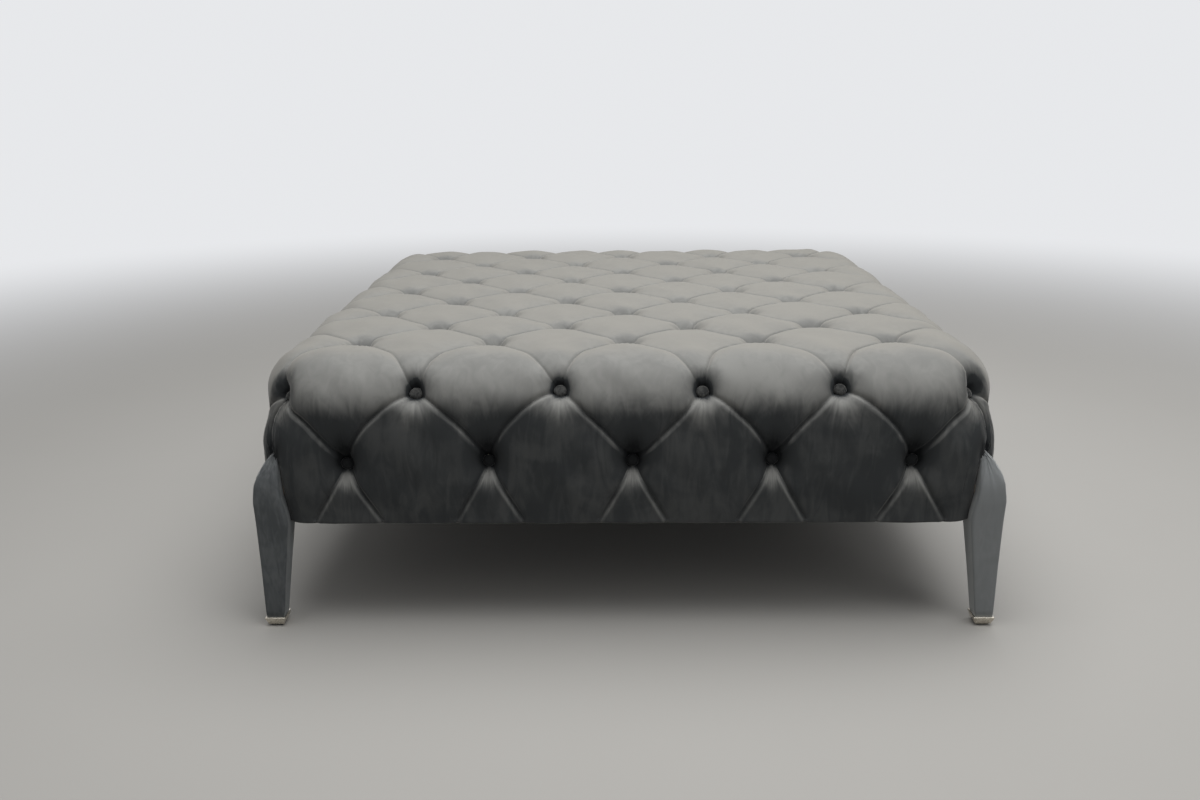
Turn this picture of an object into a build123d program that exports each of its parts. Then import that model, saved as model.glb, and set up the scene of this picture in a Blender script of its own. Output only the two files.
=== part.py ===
from build123d import *
import os

os.makedirs("parts", exist_ok=True)

# Square ottoman coffee table in deep-buttoned velvet, in millimetres.
# The origin is on the floor under the middle of the table, +Z is up and the front faces -Y.

# Quilt of the top and sides
button_pitch = 200.0        # across one diamond, from button to button
diamonds_across = 5
facets_per_side = 4         # of one cell of the quilt; an even number puts a corner on its crown
crown_height = 408.0        # floor to the crowns of the tufts
tuft_depth = 28.0           # crown down to a button of the top
hem_height = 167.0          # floor to the lower edge of the padding

# Smooth form that the crowns of the quilt reach, rounded over its edges and round its corners
edge_roll = 65.0
form_out = 41.0             # sides of the form, outside the line of the grid
pleat_sink = 6.0            # middle of a pleat below the form
deep_pleat_share = 0.4      # of what the upper corner button is deeper than a button of the top
pit_power = 3               # steepness of the fall into a pit; 2 is a parabola

# Where the quilt lies outside the line of the outermost buttons of the grid
edge_button_out = 18.0
edge_button_drop = 48.0     # below the crowns
edge_crown_out = 14.0
edge_crown_drop = 28.0
side_button_out = 23.0
side_button_share = 0.361   # of the height of the side, up from the hem
side_spread_share = 1.015   # the side buttons stand a little wider apart than the grid
panel_half_sink = 2.5       # middle of half a panel below the form
panel_crown_share = 0.42    # of the height of the side
hem_out = 32.0
fan_half_width = 50.0       # half of the fan of cloth that opens under a side button

# Corners of the padding
top_corner_in = 14.0        # upper corner button, drawn in from the line of the grid
top_corner_drop = 63.0
low_corner_out = 11.0
low_corner_share = 0.373    # of the height of the side
corner_crown_out = 36.0
corner_panel_out = 28.0
corner_panel_share = 0.345  # of the height of the side
corner_pleat_bulge = 4.0
panel_end_in = 2.0          # end of a side panel at the hem, inside the line of the grid

# Covered buttons, drawn with few sides because there are so many
button_radius = 9.0
button_face_radius = 5.6
button_tip_radius = 0.4     # tip of the hidden back that sits in the tuft
button_nest = 5.8           # from the tip up to the rim
button_height = 8.8
button_seat = 0.3
button_sides = 8

# Padding and board inside
wadding_under_button = 20.0
foam_share = 0.216          # thickness of the foam, of the height of the side
foam_edge_chamfer = 24.0
pad_thickness = 10.0
deck_thickness = 12.0

# Wooden frame
rail_thickness = 20.0
rail_above_hem = 3.0
cross_rail_width = 30.0
cross_rail_height = 60.0
cross_rail_share = 1.5      # of half the button pitch, out from the middle
block_leg = 80.0
block_share = 0.266         # height of a corner block, of the height of the side
block_above_rail = 6.0
bolt_sides = 6
bolt_radius = 4.0
bolt_head_radius = 7.5
bolt_head_height = 5.0
bolt_bite = 30.0            # length of the bolt inside the head of the leg
dust_cover_thickness = 1.0
dust_cover_clearance = 10.0

# Flat twine and its toggles
tie_width = 4.0
tie_thickness = 1.6
tie_clearance = 0.6
toggle_length = 24.0
toggle_width = 6.0
toggle_thickness = 4.0

# Legs
leg_out = 39.0              # outer faces, outside the line of the grid
knee_width = 46.0
foot_width = 27.0
sleeve_thickness = 2.0
shoulder_share = 0.42       # start of the shoulder's curve, of the way from the hem to the corner button
shoulder_below_button = 9.0
shoulder_top_out = 19.0
shoulder_edge_out = 3.0     # inner edge of the shoulder at half its height, outside the line of the grid
shoulder_edge_top_out = 9.0
post_out = 20.0             # head of the leg, outside the line of the grid
post_below_button = 20.0
cap_height = 12.0
cap_floor = 2.5
cap_top_width = 30.0
cap_bottom_width = 23.0
tenon_width = 19.0
glide_width = 17.0
glide_thickness = 3.0

# Worked out from the sizes above
half_pitch = button_pitch / 2
grid_half = half_pitch * diamonds_across
side_height = crown_height - hem_height
tuft_height = crown_height - tuft_depth
edge_button_height = crown_height - edge_button_drop
side_button_height = hem_height + side_button_share * side_height
low_corner_height = hem_height + low_corner_share * side_height
panel_crown_height = hem_height + panel_crown_share * side_height
foam_top = tuft_height - wadding_under_button
foam_thickness = foam_share * side_height
deck_top = foam_top - foam_thickness
rail_top = deck_top - deck_thickness
rail_bottom = hem_height + rail_above_hem
block_height = block_share * side_height
rail_inner = grid_half - rail_thickness
pad_outer = grid_half + pad_thickness
leg_outer = grid_half + leg_out
knee_inner = leg_outer - knee_width
foot_middle = leg_outer - foot_width / 2
cap_top = glide_thickness + cap_height
post_top = low_corner_height - post_below_button
shoulder_start = hem_height + shoulder_share * (low_corner_height - hem_height)
shoulder_top = low_corner_height - shoulder_below_button
core_reach = grid_half + form_out - edge_roll
core_top = crown_height - edge_roll
UP = Vector(0, 0, 1)
FRONT = Vector(0, -1, 0)
QUARTER_TURN = 90
FULL_TURN = 360
PARABOLA = 2
SIDES = ("front", "right", "back", "left")
CORNERS = ("front_right", "back_right", "back_left", "front_left")


def along(start, middle, end, power):
    """Values at even shares of the way from start to end, the middle one at its half."""
    shares = [step / facets_per_side for step in range(facets_per_side + 1)]
    rise = middle - (start + end) / 2
    return [start * (1 - t) + end * t + rise * (1 - abs(1 - 2 * t) ** power) for t in shares]


def across(corners, middles, crown, power):
    """Rows of values over a cell: its corners in ring order, the middles of its sides and its crown."""
    a, b, c, d = corners
    ab, bc, cd, da = middles
    rows = zip(along(a, ab, b, power), along(da, crown, bc, power), along(d, cd, c, power))
    return [along(*row, power) for row in rows]


def core_of(place):
    """Nearest point of the block inside the smooth form, which lies edge_roll under its surface."""
    x, y = (max(-core_reach, min(core_reach, reach)) for reach in (place.X, place.Y))
    return Vector(x, y, min(core_top, place.Z))


def sink_of(place):
    return edge_roll - (place - core_of(place)).length


def settled(place, sink):
    """The point straight over or under a place that lies by the sink below the smooth form, never above it."""
    core = core_of(place)
    return core + (place - core).normalized() * (edge_roll - max(0, sink))


def falls_along(i, j):
    """Whether the fold of an opening of the net runs with its rows, away from the cell's crown."""
    return (2 * i < facets_per_side) == (2 * j < facets_per_side)


def quilt_line(start, middle, end):
    """Points along a pleat or another edge of the cells."""
    sinks = along(sink_of(start), sink_of(middle), sink_of(end), pit_power)
    return [settled(place, sink) for place, sink in zip(along(start, middle, end, PARABOLA), sinks)]


def quilt_cell(corners, middles, crown):
    """One cell of the quilt: corners in ring order, the middle of each side after them, and the crown.

    A net over the cell falls from the crown to the corners, and two flat facets fill each of its openings.
    """
    places = across(corners, middles, crown, PARABOLA)
    corner_sinks = [sink_of(place) for place in corners]
    sinks = across(corner_sinks, [sink_of(place) for place in middles], sink_of(crown), pit_power)
    net = [[settled(*pair) for pair in zip(*row)] for row in zip(places, sinks)]
    facets = []
    for i in range(facets_per_side):
        for j in range(facets_per_side):
            a, b, c, d = net[i][j], net[i][j + 1], net[i + 1][j + 1], net[i + 1][j]
            folds = ((a, b, c), (a, c, d)) if falls_along(i, j) else ((a, b, d), (b, c, d))
            facets.extend(Face(Wire.make_polygon(fold)) for fold in folds)
    return facets


def halfway(a, b):
    return (a + b) / 2


def pleat_middle(a, b):
    """Middle of the pleat between two buttons, drawn down further by one that is deeper than the top's."""
    deeper = max(tuft_depth, sink_of(a), sink_of(b)) - tuft_depth
    return settled(halfway(a, b), pleat_sink + deep_pleat_share * deeper)


def sign(index):
    return 1 if index > 0 else -1


def grid_button(i, j):
    """Button of the top at i and j half pitches from the middle, drawn over the edge at the outermost rows."""
    edge = diamonds_across
    if abs(i) == edge and abs(j) == edge:
        reach = grid_half - top_corner_in
        return Vector(sign(i) * reach, sign(j) * reach, crown_height - top_corner_drop)
    if abs(i) == edge:
        return Vector(sign(i) * (grid_half + edge_button_out), j * half_pitch, edge_button_height)
    if abs(j) == edge:
        return Vector(i * half_pitch, sign(j) * (grid_half + edge_button_out), edge_button_height)
    return Vector(i * half_pitch, j * half_pitch, tuft_height)


def side_button(i):
    """Button of the front side under the diamond that is i half pitches from the middle."""
    return Vector(i * half_pitch * side_spread_share, -(grid_half + side_button_out), side_button_height)


def hem_point(x):
    return Vector(x, -(grid_half + hem_out), hem_height)


def low_corner_button(hand):
    reach = grid_half + low_corner_out
    return Vector(hand * reach, -reach, low_corner_height)


def over_edge_cell(i):
    """Diamond that wraps over the front edge, from a button of the top down to one of the side."""
    ring = (
        grid_button(i, 1 - diamonds_across),
        grid_button(i - 1, -diamonds_across),
        side_button(i),
        grid_button(i + 1, -diamonds_across),
    )
    top, left, low, right = ring
    middles = [pleat_middle(a, b) for a, b in ((top, left), (left, low), (low, right), (right, top))]
    crown = Vector(i * half_pitch, -(grid_half + edge_crown_out), crown_height - edge_crown_drop)
    return quilt_cell(ring, middles, settled(crown, 0))


def fan_between(button, feet):
    """Cloth that opens from a button down to the hem, in flat strips between its two edges."""
    left, right = (quilt_line(button, halfway(button, foot), foot) for foot in feet)
    strips = [Face(Wire.make_polygon([button, left[1], right[1]]))]
    for step in range(1, facets_per_side):
        ring = [left[step], left[step + 1], right[step + 1], right[step]]
        strips.append(Face(Wire.make_polygon(ring)))
    return strips


def fan(i):
    """Fan of cloth from a side button down to the hem."""
    button = side_button(i)
    return fan_between(button, (hem_point(button.X - fan_half_width), hem_point(button.X + fan_half_width)))


def panel_half(i, hand):
    """Half of the panel that hangs under an edge button, between the middle line and one side button."""
    top = grid_button(i, -diamonds_across)
    low = side_button(i + hand)
    foot = hem_point(low.X - hand * fan_half_width)
    middle_foot = hem_point(i * half_pitch * side_spread_share)
    line = Vector(halfway(top, middle_foot).X, -(grid_half + form_out), panel_crown_height)
    middles = (pleat_middle(top, low), halfway(low, foot), halfway(foot, middle_foot), line)
    crown = halfway(halfway(middles[0], middles[2]), halfway(middles[1], middles[3]))
    return quilt_cell((top, low, foot, middle_foot), middles, settled(crown, panel_half_sink))


def corner_cells(hand):
    """Last two cells of the front side, from the last side button round to the corner pleat."""
    last = diamonds_across - 1
    top = grid_button(hand * diamonds_across, -diamonds_across)
    low = side_button(hand * last)
    corner = low_corner_button(hand)
    foot = hem_point(low.X + hand * fan_half_width)
    end = hem_point(hand * (grid_half - panel_end_in))
    middle_foot = halfway(foot, end)
    line = Vector(halfway(top, middle_foot).X, -(grid_half + corner_crown_out), halfway(top, middle_foot).Z)
    bulge = Vector(hand, -1, 0).normalized() * corner_pleat_bulge
    inner = quilt_cell(
        (top, low, foot, middle_foot),
        (pleat_middle(top, low), halfway(low, foot), halfway(foot, middle_foot), line),
        Vector(halfway(top, foot).X, line.Y, halfway(line, low).Z),
    )
    outer = quilt_cell(
        (top, middle_foot, end, corner),
        (line, halfway(middle_foot, end), halfway(end, corner), halfway(corner, top) + bulge),
        Vector(
            hand * grid_half,
            -(grid_half + corner_panel_out),
            hem_height + corner_panel_share * side_height,
        ),
    )
    return inner + outer


def cut_edge(start, end):
    """Lower edge of a panel, cut as the two halves of the panel are, without its last point."""
    middle = halfway(start, end)
    first = quilt_line(start, halfway(start, middle), middle)
    second = quilt_line(middle, halfway(middle, end), end)
    return first[:-1] + second[:-1]


# Quilted outer form of the padding
cells = []
for i in range(1 - diamonds_across, diamonds_across):
    for j in range(1 - diamonds_across, diamonds_across):
        if (i + j) % 2:
            ring = (grid_button(i - 1, j), grid_button(i, j - 1), grid_button(i + 1, j), grid_button(i, j + 1))
            middles = [pleat_middle(a, b) for a, b in zip(ring, ring[1:] + ring[:1])]
            cells.extend(quilt_cell(ring, middles, Vector(i * half_pitch, j * half_pitch, crown_height)))

side_cells = corner_cells(-1) + corner_cells(1)
for i in range(1 - diamonds_across, diamonds_across, 2):
    side_cells.extend(over_edge_cell(i))
    side_cells.extend(fan(i))
for i in range(2 - diamonds_across, diamonds_across - 1, 2):
    side_cells.extend(panel_half(i, -1))
    side_cells.extend(panel_half(i, 1))

panel_end = grid_half - panel_end_in
corner_ends = [hem_point(panel_end), hem_point(-panel_end).rotate(Axis.Z, QUARTER_TURN)]
side_cells.extend(fan_between(low_corner_button(1), corner_ends))

hem_line = []
panel_start = hem_point(-panel_end)
for i in range(1 - diamonds_across, diamonds_across, 2):
    left_foot = hem_point(side_button(i).X - fan_half_width)
    hem_line.extend(cut_edge(panel_start, left_foot))
    hem_line.append(left_foot)
    panel_start = hem_point(side_button(i).X + fan_half_width)
hem_line.extend(cut_edge(panel_start, hem_point(panel_end)))
hem_line.append(hem_point(panel_end))

underside = []
for turn in range(len(SIDES)):
    cells.extend(cell.rotate(Axis.Z, turn * QUARTER_TURN) for cell in side_cells)
    underside.extend(point.rotate(Axis.Z, turn * QUARTER_TURN) for point in hem_line)
cells.append(Face(Wire.make_polygon(underside)))
quilt = Solid(Shell(cells))


# Leg, modelled at the front right corner and turned to the other three
def leg_view(plane, inset):
    """Outline of the leg seen square to one of its faces: straight outside, tapered inside."""
    with BuildSketch(plane) as view:
        with BuildLine():
            Polyline(
                (leg_outer - foot_width + inset, cap_top),
                (leg_outer - inset, cap_top),
                (leg_outer - inset, hem_height),
                (knee_inner + inset, hem_height),
                close=True,
            )
        make_face()
    return view.sketch


def shoulder_view(plane):
    """Outline of the padded shoulder that rises before the corner and curves in under the low button."""
    top_outer = (grid_half + shoulder_top_out, shoulder_top)
    top_inner = (grid_half + shoulder_edge_top_out, shoulder_top)
    edge_middle = (grid_half + shoulder_edge_out, (hem_height + shoulder_top) / 2)
    with BuildSketch(plane) as view:
        with BuildLine():
            Polyline((knee_inner, hem_height), (leg_outer, hem_height), (leg_outer, shoulder_start))
            TangentArc((leg_outer, shoulder_start), top_outer, tangent=(0, 1))
            Line(top_outer, top_inner)
            ThreePointArc(top_inner, edge_middle, (knee_inner, hem_height))
        make_face()
    return view.sketch


def cap_view(plane):
    """Outline of the metal cap, which tapers down to the glide."""
    with BuildSketch(plane) as view:
        with BuildLine():
            Polyline(
                (foot_middle - cap_bottom_width / 2, glide_thickness),
                (foot_middle + cap_bottom_width / 2, glide_thickness),
                (foot_middle + cap_top_width / 2, cap_top),
                (foot_middle - cap_top_width / 2, cap_top),
                close=True,
            )
        make_face()
    return view.sketch


FRONT_VIEW = Plane.XZ
SIDE_VIEW = Plane(origin=(0, 0, 0), x_dir=(0, -1, 0), z_dir=(-1, 0, 0))
DIAGONAL = Vector(1, -1, 0).normalized()
bolt_start = Vector(rail_inner - block_leg / 2, -(rail_inner - block_leg / 2), rail_bottom + block_above_rail)
bolt_start = bolt_start + UP * (block_height / 2)
bolt_length = (Vector(rail_inner, -rail_inner, bolt_start.Z) - bolt_start).length + bolt_bite

with BuildPart() as leg_bolt:
    with BuildSketch(Plane(origin=bolt_start, z_dir=DIAGONAL)):
        RegularPolygon(radius=bolt_radius, side_count=bolt_sides)
    extrude(amount=bolt_length)
    with BuildSketch(Plane(origin=bolt_start, z_dir=DIAGONAL)):
        RegularPolygon(radius=bolt_head_radius, side_count=bolt_sides)
    extrude(amount=-bolt_head_height)

with BuildPart() as leg_core:
    extrude(leg_view(FRONT_VIEW, sleeve_thickness), amount=leg_outer)
    extrude(leg_view(SIDE_VIEW, sleeve_thickness), amount=-leg_outer, mode=Mode.INTERSECT)
    with BuildSketch(Plane.XY.offset(cap_top)):
        with Locations((foot_middle, -foot_middle)):
            Rectangle(tenon_width, tenon_width)
    extrude(amount=cap_floor - cap_height)
    with BuildSketch(Plane.XY.offset(hem_height)):
        with Locations((rail_inner, -rail_inner)):
            Rectangle(post_out + rail_thickness, post_out + rail_thickness, align=(Align.MIN, Align.MAX))
    extrude(amount=post_top - hem_height)
    add(leg_bolt.part, mode=Mode.SUBTRACT)

with BuildPart() as shoulder:
    extrude(shoulder_view(FRONT_VIEW), amount=leg_outer)
    extrude(shoulder_view(SIDE_VIEW), amount=-leg_outer, mode=Mode.INTERSECT)

with BuildPart() as leg_sleeve:
    extrude(leg_view(FRONT_VIEW, 0), amount=leg_outer)
    extrude(leg_view(SIDE_VIEW, 0), amount=-leg_outer, mode=Mode.INTERSECT)
    add(shoulder.part)
    add(leg_core.part, mode=Mode.SUBTRACT)
    add(quilt, mode=Mode.SUBTRACT)

with BuildPart() as foot_cap:
    extrude(cap_view(FRONT_VIEW), amount=leg_outer + foot_width)
    extrude(cap_view(SIDE_VIEW), amount=-leg_outer - foot_width, mode=Mode.INTERSECT)
    with BuildSketch(Plane.XY.offset(cap_top)):
        with Locations((foot_middle, -foot_middle)):
            Rectangle(tenon_width, tenon_width)
    extrude(amount=cap_floor - cap_height, mode=Mode.SUBTRACT)

with BuildPart() as glide:
    with BuildSketch():
        with Locations((foot_middle, -foot_middle)):
            Rectangle(glide_width, glide_width)
    extrude(amount=glide_thickness)

# Corner block behind the head of the leg
with BuildPart() as corner_block:
    with BuildSketch(Plane.XY.offset(rail_bottom + block_above_rail)):
        with BuildLine():
            Polyline(
                (rail_inner, -rail_inner),
                (rail_inner - block_leg, -rail_inner),
                (rail_inner, block_leg - rail_inner),
                close=True,
            )
        make_face()
    extrude(amount=block_height)
    add(leg_bolt.part, mode=Mode.SUBTRACT)

# Rail of the front side with its side pad, each slotted for the ties of the side buttons
side_tie_places = [(side_button(i).X, side_button_height) for i in range(1 - diamonds_across, diamonds_across, 2)]

with BuildPart() as rail_ties_front:
    with BuildSketch(Plane.XZ.offset(rail_inner)):
        with Locations(*side_tie_places):
            Rectangle(tie_width, tie_thickness)
    extrude(amount=pad_outer - rail_inner)

with BuildPart() as rail_toggles_front:
    with BuildSketch(Plane.XZ.offset(rail_inner)):
        with Locations(*side_tie_places):
            Rectangle(toggle_length, toggle_width)
    extrude(amount=-toggle_thickness)

with BuildPart() as rail:
    with BuildSketch(Plane.XZ.offset(rail_inner)):
        with Locations((0, rail_bottom)):
            Rectangle(2 * rail_inner, rail_top - rail_bottom, align=(Align.CENTER, Align.MIN))
        with Locations(*side_tie_places):
            Rectangle(tie_width + 2 * tie_clearance, tie_thickness + 2 * tie_clearance, mode=Mode.SUBTRACT)
    extrude(amount=rail_thickness)
    with PolarLocations(0, len(SIDES)):
        add(leg_bolt.part, mode=Mode.SUBTRACT)

with BuildPart() as side_pad:
    with BuildSketch(Plane.XZ.offset(grid_half)):
        with Locations((0, rail_bottom)):
            Rectangle(2 * rail_inner, deck_top - rail_bottom, align=(Align.CENTER, Align.MIN))
        with Locations(*side_tie_places):
            Rectangle(tie_width + 2 * tie_clearance, tie_thickness + 2 * tie_clearance, mode=Mode.SUBTRACT)
    extrude(amount=pad_thickness)

# Board, cross rails, foam and the ties that pull the buttons of the top down
with BuildPart() as deck_blank:
    with BuildSketch(Plane.XY.offset(rail_top)):
        Rectangle(2 * grid_half, 2 * grid_half)
    extrude(amount=deck_thickness)
    chamfer(deck_blank.edges().filter_by(Axis.Z), length=2 * rail_thickness)

with BuildPart() as foam_blank:
    with BuildSketch(Plane.XY.offset(deck_top)):
        Rectangle(2 * pad_outer, 2 * pad_outer)
    extrude(amount=foam_thickness)
    chamfer(foam_blank.edges().filter_by(Axis.Z), length=2 * (rail_thickness + pad_thickness))
    chamfer(foam_blank.faces().sort_by(Axis.Z)[-1].edges(), length=foam_edge_chamfer)

inner_grid = [
    grid_button(i, j)
    for i in range(1 - diamonds_across, diamonds_across)
    for j in range(1 - diamonds_across, diamonds_across)
    if (i + j) % 2 == 0
]
top_tie_places = [(button.X, button.Y) for button in inner_grid]

with BuildPart() as tie_slots:
    with BuildSketch(Plane.XY.offset(rail_top)):
        with Locations(*top_tie_places):
            Rectangle(tie_width + 2 * tie_clearance, tie_thickness + 2 * tie_clearance)
    extrude(amount=foam_top - rail_top)

with BuildPart() as deck:
    add(deck_blank.part)
    add(tie_slots.part, mode=Mode.SUBTRACT)

with BuildPart() as seat_foam:
    add(foam_blank.part)
    add(tie_slots.part, mode=Mode.SUBTRACT)

with BuildPart() as deck_ties:
    with BuildSketch(Plane.XY.offset(rail_top)):
        with Locations(*top_tie_places):
            Rectangle(tie_width, tie_thickness)
    extrude(amount=foam_top - rail_top)

with BuildPart() as deck_toggles:
    with BuildSketch(Plane.XY.offset(rail_top)):
        with Locations(*top_tie_places):
            Rectangle(toggle_length, toggle_width)
    extrude(amount=-toggle_thickness)

with BuildPart() as cross_rail:
    with BuildSketch(Plane.XY.offset(rail_top)):
        with Locations((cross_rail_share * half_pitch, 0)):
            Rectangle(cross_rail_width, 2 * rail_inner)
    extrude(amount=-cross_rail_height)

with BuildPart() as dust_cover:
    with BuildSketch(Plane.XY.offset(rail_bottom)):
        Rectangle(2 * grid_half, 2 * grid_half)
    extrude(amount=-dust_cover_thickness)
    chamfer(dust_cover.edges().filter_by(Axis.Z), length=2 * rail_thickness + dust_cover_clearance)

# Padded cover: the quilt outside, and inside the room for the frame, the pads, the foam and the legs
with BuildPart() as tufted_cover:
    add(quilt)
    with BuildSketch(Plane.XY.offset(hem_height)):
        Rectangle(2 * pad_outer, 2 * rail_inner)
        Rectangle(2 * rail_inner, 2 * pad_outer)
    extrude(amount=deck_top - hem_height, mode=Mode.SUBTRACT)
    add(foam_blank.part, mode=Mode.SUBTRACT)
    with PolarLocations(0, len(CORNERS)):
        add(leg_core.part, mode=Mode.SUBTRACT)
        add(leg_bolt.part, mode=Mode.SUBTRACT)


# Covered buttons
def outward(button, above, below):
    """Direction that a button faces: away from the cloth that runs up and down from it."""
    return -((above - button).normalized() + (below - button).normalized()).normalized()


def seated(button, direction):
    return Plane(origin=button + direction * button_seat, z_dir=direction).location


# A button is what its side views from all round have in common, so its faces are flat
with BuildPart() as button:
    for turn in range(button_sides // 2):
        with BuildSketch(Plane.XZ.rotated((0, 0, turn * FULL_TURN / button_sides))):
            with BuildLine():
                Polyline(
                    (-button_tip_radius, 0),
                    (-button_radius, button_nest),
                    (-button_face_radius, button_height),
                    (button_face_radius, button_height),
                    (button_radius, button_nest),
                    (button_tip_radius, 0),
                    close=True,
                )
            make_face()
        extrude(amount=button_radius, both=True, mode=Mode.INTERSECT if turn else Mode.ADD)

with BuildPart() as top_buttons:
    with Locations(*[seated(place, UP) for place in inner_grid]):
        add(button.part)

edge_places = []
for i in range(2 - diamonds_across, diamonds_across - 1, 2):
    place = grid_button(i, -diamonds_across)
    above = halfway(grid_button(i - 1, 1 - diamonds_across), grid_button(i + 1, 1 - diamonds_across))
    below = halfway(side_button(i - 1), side_button(i + 1))
    edge_places.append(seated(place, outward(place, above, below)))
top_corner = grid_button(diamonds_across, -diamonds_across)
inner_corner = grid_button(diamonds_across - 1, 1 - diamonds_across)
low_corner = low_corner_button(1)
edge_places.append(seated(top_corner, outward(top_corner, inner_corner, low_corner)))

with BuildPart() as edge_row:
    with Locations(*edge_places):
        add(button.part)

with BuildPart() as side_row:
    with Locations(*[seated(side_button(i), FRONT) for i in range(1 - diamonds_across, diamonds_across, 2)]):
        add(button.part)

with BuildPart() as low_corner_row:
    with Locations(seated(low_corner, outward(low_corner, top_corner, halfway(*corner_ends)))):
        add(button.part)


def all_round(front):
    """The pieces of one side or corner, repeated at the other three."""
    with BuildPart() as ring:
        with PolarLocations(0, len(SIDES)):
            add(front.part)
    return ring


def write(piece, name):
    piece.part.label = name
    export_step(piece.part, f"parts/{name}.step")


def write_turned(piece, names, pattern):
    """One node for each side or corner, from the piece at the front or at the front right."""
    for turn, place in enumerate(names):
        with BuildPart() as turned:
            add(piece.part.rotate(Axis.Z, turn * QUARTER_TURN))
        write(turned, pattern.format(place))


write(tufted_cover, "tufted_cover")
write(seat_foam, "seat_foam")
write(deck, "deck")
write(dust_cover, "dust_cover")
write(top_buttons, "top_buttons")
write(all_round(edge_row), "edge_buttons")
write(all_round(side_row), "side_buttons")
write(all_round(low_corner_row), "corner_buttons")
write(deck_ties, "deck_ties")
write(deck_toggles, "deck_toggles")
write(all_round(rail_ties_front), "rail_ties")
write(all_round(rail_toggles_front), "rail_toggles")
write(all_round(leg_bolt), "leg_bolts")
write_turned(rail, SIDES, "{}_rail")
write_turned(side_pad, SIDES, "{}_pad")
write_turned(leg_core, CORNERS, "leg_core_{}")
write_turned(leg_sleeve, CORNERS, "leg_sleeve_{}")
write_turned(foot_cap, CORNERS, "foot_cap_{}")
write_turned(glide, CORNERS, "glide_{}")
write_turned(corner_block, CORNERS, "corner_block_{}")
for turn, place in enumerate(("right", "left")):
    with BuildPart() as cross:
        add(cross_rail.part.rotate(Axis.Z, turn * 2 * QUARTER_TURN))
    write(cross, f"cross_rail_{place}")
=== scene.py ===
"""Square ottoman coffee table in deep-buttoned grey velvet, dressed over its CAD frame."""

import logging
import math
from collections.abc import Callable, Iterable, Sequence
from dataclasses import dataclass, field
from enum import Enum

import bpy
import numpy as np
from mathutils import Matrix, Vector


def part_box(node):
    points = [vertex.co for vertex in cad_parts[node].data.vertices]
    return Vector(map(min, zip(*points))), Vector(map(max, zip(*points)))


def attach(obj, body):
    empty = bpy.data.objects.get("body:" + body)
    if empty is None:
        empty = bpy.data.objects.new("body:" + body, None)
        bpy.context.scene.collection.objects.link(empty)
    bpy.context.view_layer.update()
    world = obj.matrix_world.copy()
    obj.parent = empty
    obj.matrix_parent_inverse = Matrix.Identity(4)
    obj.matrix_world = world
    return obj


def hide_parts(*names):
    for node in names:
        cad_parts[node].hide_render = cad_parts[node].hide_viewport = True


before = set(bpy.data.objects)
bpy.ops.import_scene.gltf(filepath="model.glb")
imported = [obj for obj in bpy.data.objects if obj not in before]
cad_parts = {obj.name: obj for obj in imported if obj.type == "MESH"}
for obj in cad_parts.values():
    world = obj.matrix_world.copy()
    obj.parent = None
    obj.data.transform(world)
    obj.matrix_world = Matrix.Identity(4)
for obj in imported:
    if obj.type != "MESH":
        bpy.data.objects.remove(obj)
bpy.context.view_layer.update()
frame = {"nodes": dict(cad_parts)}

log = logging.getLogger("ottoman")
Colour = tuple[float, float, float]
Array = np.ndarray
ROOT = "root"


class Side(Enum):
    """Sides of the table, by the quarter turns from the front."""

    FRONT = 0
    RIGHT = 1
    BACK = 2
    LEFT = 3

    @property
    def label(self) -> str:
        """Name of the side in the names of its pieces."""
        return self.name.lower()


class Corner(Enum):
    """Corners of the table, by the quarter turns from the front right one."""

    FRONT_RIGHT = 0
    BACK_RIGHT = 1
    BACK_LEFT = 2
    FRONT_LEFT = 3

    @property
    def label(self) -> str:
        """Name of the corner in the names of its pieces."""
        return self.name.lower()


class Slot(Enum):
    """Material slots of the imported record."""

    VELVET = "velvet"
    LEG_VELVET = "leg_velvet"
    BUTTON_VELVET = "button_velvet"
    FOAM = "foam"
    PLYWOOD = "plywood"
    BEECH = "beech"
    BLACK_CLOTH = "black_cloth"
    TWINE = "twine"
    DARK_PLASTIC = "dark_plastic"
    ZINC_STEEL = "zinc_steel"
    CAP_METAL = "cap_metal"


class Fold(Enum):
    """How an edge of a patch is held down."""

    PLEAT = "pleat"
    TUCK = "tuck"


# Shader building blocks


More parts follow.
